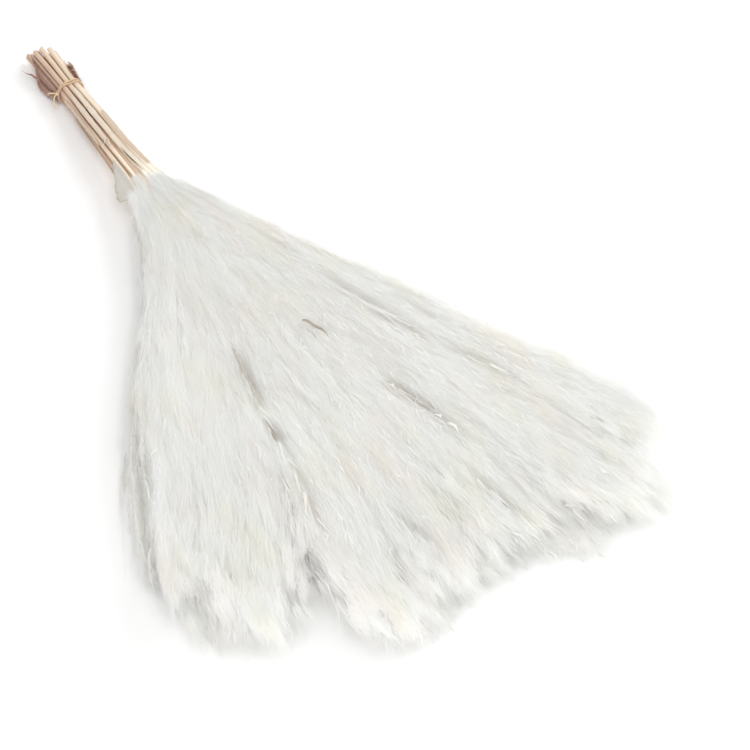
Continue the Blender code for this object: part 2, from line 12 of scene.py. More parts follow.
import bpy
import numpy as np
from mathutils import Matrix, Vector


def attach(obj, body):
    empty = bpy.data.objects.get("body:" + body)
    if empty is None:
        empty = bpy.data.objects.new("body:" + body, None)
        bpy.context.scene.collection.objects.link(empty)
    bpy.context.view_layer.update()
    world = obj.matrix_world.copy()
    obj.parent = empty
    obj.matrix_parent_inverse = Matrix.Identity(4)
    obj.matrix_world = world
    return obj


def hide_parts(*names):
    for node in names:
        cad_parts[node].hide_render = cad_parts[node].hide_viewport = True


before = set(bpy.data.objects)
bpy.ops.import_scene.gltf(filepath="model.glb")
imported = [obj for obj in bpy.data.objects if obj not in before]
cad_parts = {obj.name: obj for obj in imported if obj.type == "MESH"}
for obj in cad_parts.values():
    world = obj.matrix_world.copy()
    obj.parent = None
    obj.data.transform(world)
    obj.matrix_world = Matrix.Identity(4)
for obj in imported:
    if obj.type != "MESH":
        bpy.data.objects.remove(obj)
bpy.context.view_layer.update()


def smooth_through(stations):
    """The value at each x of a smooth curve through (x, value) stations, level past both ends."""
    xs, values = np.array(stations).T
    last = len(xs) - 1
    low = np.maximum(np.arange(last + 1) - 1, 0)
    high = np.minimum(np.arange(last + 1) + 1, last)
    slopes = (values[high] - values[low]) / (xs[high] - xs[low])

    def value_at(x):
        x = np.clip(x, xs[0], xs[last])
        i = np.clip(np.searchsorted(xs, x) - 1, 0, last - 1)
        step = xs[i + 1] - xs[i]
        t = (x - xs[i]) / step
        start = values[i] * (1 + 2 * t) * (1 - t) ** 2 + slopes[i] * step * t * (1 - t) ** 2
        end = values[i + 1] * t * t * (3 - 2 * t) - slopes[i + 1] * step * t * t * (1 - t)
        return start + end

    return value_at


ORIGIN = np.array([-0.3679971, -0.0143226, 0.0])
BODY = "root"

# The camera stands where the photograph was taken from.
CAMERA_AZIMUTH = math.radians(59)
CAMERA_ELEVATION = math.radians(48)
CAMERA_DISTANCE = 1.8
CAMERA_LENS = 105.5
LOOKED_AT = Vector((0.121, 0.0607, 0.0))

# Layout of the bundle, the same as in its solids. Each pair is a station along X and the value there.
TIE_X = 0.055
centre_y = smooth_through((
    (-0.017, 0.01), (TIE_X, 0.01), (0.12, 0.008), (0.17, 0.0065), (0.23, 0.007), (0.3, 0.01),
    (0.4, 0.0055), (0.5, -0.001), (0.6, -0.002), (0.76, 0.0),
))
centre_z = smooth_through((
    (-0.017, 0.0113), (TIE_X, 0.013), (0.12, 0.0195), (0.17, 0.025), (0.23, 0.03), (0.3, 0.0315),
    (0.4, 0.029), (0.5, 0.0245), (0.6, 0.0235), (0.76, 0.019),
))
fan_half_width = smooth_through((
    (-0.017, 0.0108), (TIE_X, 0.0085), (0.12, 0.0104), (0.17, 0.0118), (0.23, 0.0175), (0.3, 0.041),
    (0.4, 0.09), (0.5, 0.138), (0.6, 0.175), (0.7, 0.2), (0.76, 0.211),
))
layer_half_gap = smooth_through((
    (-0.017, 0.0055), (TIE_X, 0.005), (0.12, 0.006), (0.23, 0.008), (0.3, 0.01), (0.4, 0.0125),
    (0.5, 0.0145), (0.6, 0.0145), (0.76, 0.0115),
))
ROW_HALF_STAGGER = 0.0023
FAN_OPEN_X = 0.3

# One row for each stem, across the fan: its place in the open fan, where -1 and 1 are the outermost,
# where its plume starts and ends along X, and how far its tip drifts sideways, as a share of the fan.
UPPER_LAYER = (
    (-0.9, 0.234, 0.648, -0.08),
    (-0.47, 0.216, 0.704, -0.2),
    (-0.17, 0.238, 0.754, -0.06),
    (0.11, 0.218, 0.736, -0.05),
    (0.39, 0.236, 0.726, 0.02),
    (0.66, 0.222, 0.742, 0.11),
    (0.94, 0.24, 0.676, 0.17),
)
LOWER_LAYER = (
    (-1.02, 0.25, 0.598, -0.03),
    (-0.69, 0.244, 0.672, -0.12),
    (-0.33, 0.262, 0.672, 0.0),
    (-0.03, 0.252, 0.738, -0.04),
    (0.25, 0.266, 0.722, 0.0),
    (0.54, 0.25, 0.738, 0.03),
    (0.9, 0.258, 0.728, 0.06),
)
DRIFT_SHARE = 0.45

# Stems
BUTT_RADIUS = 0.00235
NECK_RADIUS = 0.0015
NECK_X = 0.25
JOINT_PLACES = (0.42, 0.77)
JOINT_SCATTER = 0.06
JOINT_SWELL = 0.00025
JOINT_HALF_LENGTH = 0.0022
CUT_SLANT = 0.9
FIRST_CUT_X = -0.017
CUT_SCATTER = 0.012
CUT_SKEW = 0.012
CULM_TONE = 0.42
CULM_TONE_SPREAD = 0.7
CULM_PALER = 0.46
CULM_PALER_FROM = 0.085
CULM_SIDES = 16
CULM_STEP = 0.005
CULM_WALL_SHARE = 0.68
PITH_DEPTH = 0.0012
CUT_WALL_TONE = 0.6
CUT_HOLLOW_TONE = 0.3

# The cell that a plume fills
PLUME_GAP = 0.0003
CELL_MARGIN = 0.0009
CELL_MOST_HALF_WIDTH = 0.03
CELL_ROUNDING = 0.32
ROUNDED_FROM = 0.72
UPWARD_ROOM = 1.42
FLOOR_CLEARANCE = 0.0007

# Racemes, the long branches of a plume. The first ones are the branches of its solid.
BRANCHES = 14
FIRST_LAST_ROOT = (0.015, 0.45)
FIRST_LAST_END = (0.66, 1.0)
END_SCATTER = 0.1
BRANCH_SWAY = 0.3
TURN_SCATTER = 0.3
REACH_SCATTER = 0.06
INNER_EVERY = 3
ROOT_REACH = 0.16
SPREAD_BY = 0.62
INNER_REACH = 0.6
OUTER_REACH = 0.92
GOLDEN_ANGLE = math.pi * (3 - math.sqrt(5))
FILL_RACEMES = 20
FILL_ROOTS = (0.0, 0.56)
FILL_ENDS = (0.55, 0.99)
FILL_END_BACK = 0.7
FILL_REACH = (0.25, 1.0)
FILL_CROWDING = 0.6
PATH_POINTS = 40
PATH_WAVE = 0.0011
WAVE_TURNS = (1.2, 2.6)
WAVE_RISE = 0.6
CURL_FROM = 0.74
CURL_REACH = (0.003, 0.014)
CURL_RISE = 0.5
WIRE_RADIUS = (0.00034, 0.00012)
WIRE_SIDES = 3
WIRE_EVERY = 4

# Spikelets
SPIKELET_STEP = 0.008
SPIKELETS_FROM = 0.3
SPIKELET_LENGTH = 0.0046
SPIKELET_RADIUS = 0.00045
SPIKELET_LEAN = 0.34
SPIKELET_WIDEST_AT = 0.38

# Felt, the dense inner fluff of a plume. A share is of the way from its axis to the edge of the fluff.
FELT_ROWS = 96
FELT_COLUMNS = 40
FELT_SHARE = 0.8
FELT_END = 0.94
FELT_NOSE_FROM = 0.66
FELT_NOSE_POWER = 2.0
FELT_GROWN_WITHIN = 0.045
FELT_RIDGES = ((5, 0.03, 1.3), (11, 0.04, 2.1), (19, 0.03, 3.4))
FELT_TONE = 0.62
# Painted light and shade: the felt is coloured lighter on its ridges and darker between them
FELT_RIDGE_PAINTED_LIGHT = 0.16
FELT_AT_NECK = 0.25
VEIL_FELT_TONE = 0.55

# The edge of the fluff, which is fuller than the cell and meets its neighbours
EDGE_SQUARENESS = 6.0
OUTER_SQUARENESS = 2.3
EDGE_MOST_HALF_WIDTH = 0.044
EDGE_MOST_AT_TIP = 0.032
EDGE_PAST = 1.06
EDGE_OVERLAP = 0.0006
EDGE_ROUNDING = 0.1
UPPER_LEFT_SHARE = 0.75
# How far the outermost plumes' fluff reaches outwards, at stations along X
outer_left = smooth_through((
    (0.23, 0.01), (0.3, 0.013), (0.37, 0.013), (0.41, 0.02), (0.45, 0.026), (0.49, 0.017), (0.53, 0.005),
    (0.58, 0.003), (0.65, 0.003),
))
outer_right = smooth_through((
    (0.23, 0.006), (0.3, 0.007), (0.37, 0.009), (0.41, 0.01), (0.46, 0.029), (0.52, 0.027), (0.58, 0.031),
    (0.62, 0.028), (0.7, 0.018),
))
# How much of that reach is dense, and how far loose hairs keep out of the rest
dense_left = smooth_through(((0.23, 0.9), (0.38, 0.85), (0.43, 0.5), (0.5, 0.15), (0.6, 0.1)))
dense_right = smooth_through(((0.23, 0.8), (0.35, 0.64), (0.45, 0.5), (0.7, 0.5)))
LOOSE_POWER = 2.2
LOOSE_SPARED = 0.7
LOOSE_HAIR_SPARED = 0.85
# Painted shade: the loose hairs at the long edges are coloured darker, by this share of the painted shade
# at a plume's end
LOOSE_PAINTED_SHADE_SHARE = 0.6
# How far the hair at a plume's end goes past its tip
END_PAST = {
    "upper_1": 0.0, "upper_2": 0.022, "upper_5": 0.014, "upper_6": 0.027, "upper_7": 0.04,
    "lower_1": 0.002, "lower_2": 0.016, "lower_3": -0.042, "lower_7": 0.034,
}
USUAL_END_PAST = 0.019
LONGEST_PAST = 0.026
END_FRINGE = 0.028
# Painted shade: hair in the last stretch before a plume's end is coloured darker, by this much of its tone,
# within this distance
FRINGE_PAINTED_SHADE = 0.46
FRINGE_PAINTED_SHADE_WITHIN = 0.045
SHORTEST_HAIR = 0.007
# How softly hair is held back at the fan's long edges
EDGE_HAIR = 0.002
EDGE_SOFTNESS = 0.012
EDGE_FREE = 0.6
GOLDEN_SHARE = 0.618034

# Creases where the fluff parts and a plume's axis shows: its stem, how deep, how dark, and (x, y) places
CREASES = (
    ("upper_3", 0.9, 0.7, ((0.44, -0.03), (0.468, -0.036), (0.493, -0.04), (0.519, -0.045))),
    ("upper_3", 1.0, 1.1, ((0.524, -0.0462), (0.54, -0.0482), (0.558, -0.0505))),
    ("upper_3", 0.6, 0.6, ((0.555, -0.05), (0.595, -0.055), (0.643, -0.063))),
    ("upper_5", 0.9, 0.8, ((0.531, 0.051), (0.56, 0.059), (0.587, 0.067), (0.625, 0.075))),
    ("upper_4", 0.6, 1.15, ((0.449, 0.03), (0.457, 0.0336), (0.465, 0.037), (0.474, 0.0406))),
    ("upper_6", 0.6, 0.5, ((0.391, 0.058), (0.437, 0.078), (0.487, 0.095), (0.525, 0.107))),
    ("upper_6", 0.6, 0.5, ((0.531, 0.11), (0.562, 0.128), (0.598, 0.146))),
    ("upper_4", 0.4, 0.6, ((0.289, -0.001), (0.306, 0.004), (0.325, 0.009))),
    ("upper_3", 0.8, 0.6, ((0.64, -0.013), (0.67, -0.004), (0.696, 0.006))),
    ("upper_5", 0.8, 0.6, ((0.651, 0.061), (0.681, 0.069), (0.713, 0.079))),
    ("upper_6", 0.8, 0.6, ((0.695, 0.1), (0.716, 0.113), (0.734, 0.128))),
)
CREASE_HALF_WIDTH = 0.004
CREASE_PART = 0.0018
CREASE_DEPTH = 0.0018
CREASE_LOWEST = 0.028
# Painted shade: hair and felt beside a crease are coloured a darker tan, partly the hair's own tan there
# and partly the shade that falls in the crease
CREASE_SHADE = 0.56
CREASE_SHADE_HALF_WIDTH = 0.0045
CREASE_SHADE_BESIDE = 0.0028
CREASE_STALK_RADIUS = 0.0009
CREASE_STALK_SUNK = 0.0025
CREASE_STALK_WIDEST = 1.2
CREASE_STALK_TONE = (0.74, 0.45)
LEAST_DARKNESS = 0.7

# Hairs: how many, their least and most length, width and lean off the raceme, and how far they turn
# outwards
FINE_HAIRS = (7400, (0.009, 0.015), (0.00015, 0.00026), (0.15, 0.65), 0.45)
LONG_HAIRS = (2200, (0.014, 0.024), (0.00016, 0.00026), (0.08, 0.42), 0.6)
WISPS = (400, (0.018, 0.029), (0.00014, 0.0002), (0.3, 0.8), 1.2)
SLIVER_SHADES = (-0.08, -0.08, 0.1)
RIBBON_SHADES = (-0.12, -0.12, 0.0, 0.0, 0.14)
HAIR_BACK_BEND = 0.2
HAIR_BEND_SCATTER = 0.1
HAIR_SAG = (0.0, 0.0, -0.06)
HAIR_FACING_SCATTER = 0.4
THIN_PLUME_LENGTH = (0.62, 0.38)
END_HAIR_SHORTER = 0.3
RACEME_TONE_SCATTER = 0.1
# Hair is coloured paler towards the plume's outside: partly the bleached outer hair, partly painted shade
# deep in the plume
INNER_TONE = (0.35, 0.4)
HAIRS_FROM = 0.25
HAIRS_OUTWARD = 0.7
UPWARD_STRETCH = 1.6
UPWARD_AT_AXIS = 0.0008
FULL_LOFT_WIDTH = 0.011
LEAST_LOFT = 0.5
LOWEST_HAIR = 0.0003
LOWEST_RACEME = 0.0013
SETTLING_DEPTH = 0.01
# Greatest reach of a hair: axis, direction and place
HAIR_LIMITS = ((2, 1, 0.0655), (0, 1, 0.782), (1, 1, 0.24), (1, -1, 0.214))

# The coat, silky tufts that cover the felt
TUFTS = 1430
THATCH_SHARE = 0.5
THATCH_PAST = 1.15
THATCH_HEIGHTS = (0.72, 0.94)
TUFT_HAIRS = 18
TUFT_DEPTHS = (0.78, 0.94)
TUFT_LENGTH = (0.018, 0.032)
TUFT_LEAN = (0.0, 0.2)
TUFT_SWING = 0.09
FLOW_SWING = 0.08
BRUSH_FROM = 0.8
BRUSH_CROWDING = 1.3
BRUSH_LEAN = 0.25
BRUSH_DEPTHS = (0.15, 0.95)
BRUSH_BACK = 0.006
BRUSH_SHORTER = 0.35
TUFT_SPREAD = (0.008, 0.005, 0.0012)
FACING_SCATTER = 0.22
TUFT_GATHER = (0.0, 0.25)
HAIR_WANDER = 0.08
TUFT_HAIR_SHARES = (0.7, 1.1)
TUFT_TONE = 0.62
TUFT_TONE_SCATTER = 0.04
HAIR_TONE_SCATTER = 0.07
TUFT_HAIR_TONE_SCATTER = 0.06
# Painted light and shade: tufts on the felt's ridges are coloured lighter, those between them darker
RIDGE_PAINTED_LIGHT = 1.2
NEXT_POINT = 0.004
# Waves in the way the hair flows: how strong, and how quick along X and round the axis
FLOWS = ((1.0, 38.0, 2.0), (0.6, 97.0, -3.0))
THATCH_LIFT = (0.0, 0.0, 2.0)
COAT_HAIR_WIDTH = (0.00015, 0.00025)
COAT_THIN_WIDTH = 0.004
UPPER_HALF_SHARE = 0.76
EVEN_ACROSS_SHARE = 0.65
NECK_SHARE = 0.05
NECK_LENGTH = 0.05
NECK_BACK = 0.006
NECK_THINNED = 0.5

# Short bright curls that lie on the coat, more of them towards the right and the ends
CURLS = (24, 300)
CURL_LENGTHS = (0.005, 0.013)
CURL_WIDTHS = (0.0006, 0.0014)
CURL_SWING = (0.25, 0.45)
CURL_CROWDING = 0.6
CURL_SETBACK = 0.012
CURL_STAND_OFF = 1.02
CURL_TONES = (0.75, 1.1)

# Veils of tufts between plumes that lie side by side in the whole fan: the two plumes, where the veil
# starts along the first one, and how far its end draws back
VEILS = (
    ("lower_1", "upper_1", -0.02, 0.0), ("upper_1", "lower_2", 0.62, 0.004),
    ("lower_2", "upper_2", 0.62, 0.0), ("upper_2", "lower_3", 0.62, 0.055),
    ("lower_3", "upper_3", 0.62, 0.014), ("upper_3", "lower_4", 0.62, 0.0),
    ("lower_4", "upper_4", 0.62, 0.0), ("upper_4", "lower_5", 0.62, 0.004),
    ("lower_5", "upper_5", 0.62, 0.0), ("upper_5", "lower_6", 0.62, 0.012),
    ("lower_6", "upper_6", 0.62, 0.01), ("upper_6", "lower_7", 0.62, 0.0),
    ("lower_7", "upper_7", 0.4, 0.014), ("upper_1", "upper_2", 0.5, -0.004),
)
OUTER_VEIL = ("lower_1", "upper_1")
OUTER_VEIL_TUFTS = 500
VEIL_TUFTS = 300
VEIL_HAIR_SHARES = (0.65, 1.1)
VEIL_HEIGHT = 0.84
VEIL_SPAN = (-0.08, 1.08)
VEIL_THINNING = 0.75
VEIL_DEPTHS = (-0.0035, 0.0012)
VEIL_SWING = 1.6
VEIL_LEAN = (-0.02, 0.16)
NOTCH_MIDDLE = 0.55
NOTCH_HALF_WIDTH = 0.3
VEIL_SINKS_FROM = 0.35
VEIL_LENGTH = (0.016, 0.03)
VEIL_GRID = (26, 9)
VEIL_FELT_BACK = 0.03
VEIL_FELT_DEPTH = 0.004
VEIL_FELT_DROP = 0.006
VEIL_FELT_THICKNESS = 0.0012
VEIL_FELT_LOWEST = 0.002
# The outermost veil bulges from the rim of the lower plume's dense fluff
RIM_SHARE = 0.85
RIM_HEIGHTS = (0.96, 0.75)
RIM_BULGE = (0.35, 0.1)

# Twine
TWINE_RADIUS = 0.0008
TWINE_GAP = 0.0006
TURNS_APART = 0.0016
TURNS_AT_KNOT = 0.0009
TURNS_PART_WITHIN = 0.015
TWINE_STEPS = 230
PLIES = 3
PLY_RADIUS = 0.0004
PLY_SIDES = 6
PLY_PITCH = 0.0042
KNOT_RADII = (0.0024, 0.0017, 0.0019)
KNOT_STEPS = 90
TWINE_ENDS = (
    ((0.0, 0.0, 0.0), (0.0015, -0.0035, -0.0005), (0.0045, -0.006, -0.0025), (0.008, -0.007, -0.0055)),
    ((0.0, 0.0, 0.0), (-0.002, -0.003, 0.0005), (-0.005, -0.005, -0.001), (-0.0085, -0.0055, -0.004)),
)
FRAYED_FIBRES = 46
FRAYED_LENGTH = (0.002, 0.005)
FRAYED_WIDTH = 0.00012
TWINE_FUZZ = 420
FUZZ_LENGTH = (0.001, 0.0026)
FUZZ_WIDTH = 0.00007

# Papery leaf sheaths: stem, from x to x, the direction it faces, how far it wraps to either side, tone
SHEATHS = (
    ("upper_4", 0.066, 0.21, 90, 60, 0.68),
    ("upper_2", 0.074, 0.164, 100, 52, 0.6),
    ("upper_6", 0.112, 0.204, 78, 56, 0.44),
    ("upper_1", 0.07, 0.152, 165, 55, 0.55),
    ("lower_1", 0.092, 0.204, 200, 42, 0.5),
)
SHEATH_DRAWS = 9
SHEATH_ROWS = 72
SHEATH_COLUMNS = 13
SHEATH_THICKNESS = 0.0007
FINE_SHEET_THICKNESS = 0.00022
SHEATH_GAP = 0.0002
SHEATH_TAPER = 0.65
SHEATH_WAVE = 0.22
SHEATH_END_LIFT = 0.0008
SHEATH_EDGE_LIFT = 0.0005
SHEATH_RIPPLE = 0.00012
SHEATH_TORN = 0.1
SHEATH_TEAR_STEP = 0.16
SHEATH_FRAY = 0.03
SHEATH_EDGE_TONE = 0.1
# A dark strip on the broadest sheath, painted shadow under its curled edge, and torn strips on another one
PAINTED_SHADOW_ON = "upper_4"
PAINTED_SHADOW_REACH = (0.17, 0.208)
PAINTED_SHADOW_FACING = 112
PAINTED_SHADOW_SWING = 9
PAINTED_SHADOW_HALF_SPAN = 8
PAINTED_SHADOW_STAND_OFF = 0.0009
PAINTED_SHADOW_TONE = -0.3
TORN_STRIPS_ON = "upper_2"
TORN_STRIPS = (
    ((0.0, 0.0, 0.0), (0.006, 0.0005, 0.003), (0.013, -0.001, 0.0046), (0.02, -0.0035, 0.003)),
    ((0.0, 0.0, 0.0), (0.004, -0.001, 0.0032), (0.009, -0.004, 0.0044), (0.012, -0.0075, 0.0028)),
)
TORN_STRIP_AT = 0.15
TORN_STRIP_HALF_WIDTH = 0.0011

# The leaf that hangs off the left side
FLAP_STEM = "upper_1"
FLAP_REACH = (
    (0.1815, 0.0016), (0.19, 0.005), (0.199, 0.01), (0.2085, 0.015), (0.218, 0.019),
    (0.2265, 0.017), (0.232, 0.0075),
)
FLAP_COLUMNS = ((100, 0.0), (132, 0.0), (162, 0.01), (188, 0.12), (203, 0.5), (212, 1.0))
FLAP_GRID = (46, 26)
FLAP_WAVE = 0.0006
FLAP_EDGE_WAVE = 0.05
FLAP_TONE = 0.92
FLAP_EDGE_DARKER = 0.75
FLAP_EDGE_WITHIN = 0.05
FLAP_SHARE = 0.82

# Brown husks round the butt
HUSKS = {
    "husk_left": ((0.003, 0.05), (0.955, 1.085), 0.0085),
    "husk_right": ((0.014, 0.05), (0.5, 0.665), 0.005),
}
HUSK_DRAWS = 8
HUSK_GRID = (44, 22)
HUSK_STAND_OFF = 0.0013
HUSK_OPENING = (0.15, 0.85)
HUSK_RAGGED_ROUND = 0.034
HUSK_RAGGED_ALONG = 0.0022
HUSK_TORN_ALONG = 0.003
HUSK_TORN_ROUND = 0.014
HUSK_RIPPLE = 0.0005
HUSK_BUTT_SHARE = 0.08
HUSK_OPENS_WITHIN = 0.55
HUSK_LOWEST = 0.001
HUSK_TONE = 0.68
HUSK_STREAKS = 0.3
HUSK_DARKER = 0.25
HUSK_DARKER_WITHIN = 0.25
HUSK_MOTTLE = 0.02
SMOOTHING = (0.25, 0.5, 0.25)
HUSK_FIBRES = 110
FIBRE_LENGTH = (0.0015, 0.006)
SIDE_FIBRE_LENGTH = (0.001, 0.004)
FIBRE_WIDTH = 0.00016
CURL = ((0.0, 0.0, 0.0), (-0.005, -0.002, 0.0014), (-0.01, -0.0045, 0.0006), (-0.0155, -0.0082, 0.0026))
CURL_ON = "husk_left"
CURL_ALONG = 0.36
CURL_HALF_WIDTH = 0.0009
CURL_TONE = 0.4

# Colours along a ramp. For hair and felt it runs from the plume's axis to its outside.
HAIR_COLOURS = (
    (0.0, (0.68, 0.57, 0.45)), (0.1, (0.79, 0.7, 0.6)), (0.2, (0.765, 0.748, 0.72)),
    (0.5, (0.905, 0.906, 0.893)), (0.68, (0.94, 0.942, 0.932)), (1.0, (0.956, 0.958, 0.95)),
)
FELT_COLOURS = ((0.25, (0.78, 0.7, 0.6)), (0.6, (0.905, 0.89, 0.85)), (1.0, (0.938, 0.937, 0.918)))
WIRE_COLOURS = ((0.2, (0.74, 0.6, 0.44)), (0.6, (0.88, 0.81, 0.7)), (1.0, (0.94, 0.91, 0.85)))
AXIS_COLOURS = ((0.1, (0.16, 0.12, 0.09)), (0.45, (0.38, 0.33, 0.26)), (0.9, (0.68, 0.63, 0.54)))
SPIKELET_COLOURS = ((0.15, (0.86, 0.79, 0.68)), (0.6, (0.94, 0.92, 0.87)), (1.0, (0.96, 0.955, 0.93)))
STRAW_COLOURS = (
    (0.15, (0.38, 0.23, 0.16)), (0.42, (0.62, 0.44, 0.33)), (0.65, (0.75, 0.6, 0.46)),
    (0.85, (0.87, 0.77, 0.62)), (1.0, (0.93, 0.88, 0.78)),
)
PITH_COLOURS = ((0.1, (0.4, 0.27, 0.16)), (0.6, (0.8, 0.68, 0.5)))
TWINE_COLOURS = ((0.1, (0.36, 0.23, 0.13)), (0.45, (0.62, 0.45, 0.28)), (0.9, (0.84, 0.7, 0.5)))
SHEATH_COLOURS = (
    (0.0, (0.1, 0.06, 0.04)), (0.12, (0.5, 0.34, 0.24)), (0.45, (0.75, 0.61, 0.47)),
    (0.75, (0.87, 0.8, 0.68)), (1.0, (0.92, 0.89, 0.81)),
)
LEAF_COLOURS = ((0.1, (0.62, 0.48, 0.36)), (0.5, (0.8, 0.77, 0.71)), (0.9, (0.86, 0.85, 0.82)))
HUSK_COLOURS = (
    (0.1, (0.24, 0.11, 0.08)), (0.4, (0.46, 0.26, 0.2)), (0.7, (0.66, 0.46, 0.37)),
    (1.0, (0.86, 0.75, 0.67)),
)
# Olive and pinkish tints in the hair, and how far each one's patches are moved
HAIR_TINTS = ((0.0, (0.992, 0.992, 0.968)), (5.0, (1.0, 0.985, 0.976)))
TINT_PATCHES = ((16.0, 48.0, 48.0), 2.0)
VEIN_HEIGHT = 0.0003
FLOOR_COLOURS = ((0.0, (0.88, 0.88, 0.88)), (1.0, (0.9, 0.9, 0.9)))
FLOOR_HALF_WIDTH = 6.0


def ease(t):
    """0 before 0, 1 after 1 and smooth between."""
    t = np.clip(t, 0.0, 1.0)
    return t * t * (3 - 2 * t)


def mix(a, b, share):
    return a + (b - a) * share


def unit(vectors):
    return vectors / np.maximum(np.linalg.norm(vectors, axis=-1, keepdims=True), 1e-12)


class Stem:
    """One stem of a layer and the cell that its plume fills. Every section is taken across X."""

    def __init__(self, layer, number, rows):
        self.layer = layer
        self.name = f"{layer}_{number + 1}"
        self.side = 1 if layer == "upper" else -1
        middle = (len(rows) - 1) / 2
        self.packed_place = (number - middle) / middle
        self.outer_row = number % 2 == 1
        self.place, self.start, self.tip, self.drift = rows[number]
        self.random = random.Random(f"miscanthus {self.name}")
        skewed = CUT_SKEW * (self.packed_place + 1) / 2
        self.cut_x = FIRST_CUT_X + skewed + CUT_SCATTER * self.random.random()
        end = self.start - PLUME_GAP
        self.joints = [mix(self.cut_x, end, p + JOINT_SCATTER * self.random.random()) for p in JOINT_PLACES]
        self.slant_angle = self.random.random() * 2 * math.pi
        self.slant = CUT_SLANT * self.random.random()
        self.neighbours = []
        self.furthest = self.tip + END_PAST.get(self.name, USUAL_END_PAST)
        self.end = max(min(self.furthest, self.tip), self.furthest - LONGEST_PAST)
        # Steady numbers that differ from stem to stem
        self.phases = [7.0 * number * (self.place + 2.0) for number in range(1, 2 * len(FELT_RIDGES) + 1)]

    def axis(self, x):
        """(y, z) of the stem's centre."""
        opened = ease((x - TIE_X) / (FAN_OPEN_X - TIE_X))
        drift_from = mix(self.tip, self.start, DRIFT_SHARE)
        drifted = self.drift * ease((x - drift_from) / (self.tip - drift_from)) ** 1.5
        place = mix(self.packed_place, self.place, opened) + drifted
        stagger = ROW_HALF_STAGGER * (1 if self.outer_row else -1) * (1 - opened)
        y = centre_y(x) + place * fan_half_width(x)
        z = centre_z(x) + self.side * (layer_half_gap(x) + stagger)
        return y, z

    def culm_radius(self, x):
        return mix(BUTT_RADIUS, NECK_RADIUS, ease((x - TIE_X) / (NECK_X - TIE_X)))

    def cell(self, x):
        """Half width, height above and depth below the axis of the room that the plume has."""
        y, z = self.axis(x)
        half_spacing = np.min([abs(other.axis(x)[0] - y) for other in self.neighbours], axis=0) / 2
        rounded_from = mix(self.start, self.tip, ROUNDED_FROM)
        rounding = 1 - CELL_ROUNDING * ease((x - rounded_from) / (self.tip - rounded_from)) ** 2
        wide = np.minimum(half_spacing - CELL_MARGIN, CELL_MOST_HALF_WIDTH) * rounding
        half_gap = layer_half_gap(x)
        facing = np.minimum((half_gap - CELL_MARGIN) * rounding, wide)
        if self.layer == "upper":
            return wide, np.minimum(UPWARD_ROOM * half_gap * rounding, wide), facing
        return wide, facing, np.minimum(facing, z - FLOOR_CLEARANCE)

    def section_points(self, x, angle, share):
        """Points at this share of the way from the axis to the cell's wall, at an angle from +Y."""
        y, z = self.axis(x)
        wide, above, below = self.cell(x)
        tall = np.where(np.sin(angle) > 0, above, below)
        return np.stack([x, y + share * wide * np.cos(angle), z + share * tall * np.sin(angle)], axis=-1)

    def edge_reaches(self, x):
        """How far the fluff reaches to its left and right, to where it meets its neighbours'."""
        y, _ = self.axis(x)
        halves = [(other.axis(x)[0] - y) / 2 for other in self.neighbours]
        left = [-half for half in halves if np.mean(half) < 0]
        right = [half for half in halves if np.mean(half) > 0]
        rounded_length = (1 - ROUNDED_FROM) * (self.tip - self.start)
        t = ease((x - mix(self.start, self.tip, ROUNDED_FROM)) / rounded_length)
        most = mix(EDGE_MOST_HALF_WIDTH, EDGE_MOST_AT_TIP, t)
        rounding = 1 - EDGE_ROUNDING * t**2
        outer = UPPER_LEFT_SHARE if self.name == "upper_1" else 1.0
        left = np.minimum(EDGE_PAST * left[0] + EDGE_OVERLAP, most) if left else outer * outer_left(x)
        right = np.minimum(EDGE_PAST * right[0] + EDGE_OVERLAP, most) if right else outer * outer_right(x)
        return left * rounding, right * rounding

    def dense_share(self, x):
        """How far towards the fan's long edge the fluff is dense. Beyond it there are only loose hairs."""
        tables = {"lower_1": dense_left, "upper_7": dense_right}
        return tables[self.name](x) if self.name in tables else np.ones_like(x)

    def edge_half_width(self, x):
        return sum(self.edge_reaches(x)) / 2

    def faces_out(self, across):
        """Whether this side of the plume is on one of the fan's long edges."""
        return (abs(self.packed_place) == 1) & (across * self.packed_place > 0)

    def edge_points(self, x, angle, share, widened=1.0, outer_share=1.0):
        """Points at this share of the way from the axis to the edge of the fluff, which is fuller than the
        cell. Sides that face a neighbour may be widened, so that the fluff meets it, and outer sides
        drawn in."""
        x, angle, share = np.broadcast_arrays(x, angle, share)
        y, z = self.axis(x)
        _, above, below = self.cell(x)
        across, up = np.cos(angle), np.sin(angle)
        outer = self.faces_out(across)
        power = np.where(outer, OUTER_SQUARENESS, EDGE_SQUARENESS)
        full = share * (abs(across) ** power + abs(up) ** power) ** (-1 / power)
        left, right = self.edge_reaches(x)
        wide = np.where(across > 0, right, left)
        tall = np.where(up > 0, above, below)
        wide = wide * np.where(outer, outer_share, widened)
        return np.stack([x, y + full * wide * across, z + full * tall * up], axis=-1)

    def ridges(self, x, angle):
        """How much further the fluff stands out on its soft lengthwise ridges, as a share."""
        t = (x - self.start) / (self.tip - self.start)
        height = 0.0
        for number, (count, share, turns) in enumerate(FELT_RIDGES):
            swung = 0.9 * np.sin(2 * np.pi * turns * t + self.phases[2 * number])
            height = height + share * np.sin(count * angle + self.phases[2 * number + 1] + swung)
        return height


def make_stems():
    """All the stems by name. Neighbours are those beside each other in a layer."""
    stems = {}
    for layer, rows in (("upper", UPPER_LAYER), ("lower", LOWER_LAYER)):
        members = [Stem(layer, number, rows) for number in range(len(rows))]
        for left, right in zip(members, members[1:]):
            left.neighbours.append(right)
            right.neighbours.append(left)
        stems.update({stem.name: stem for stem in members})
    return stems


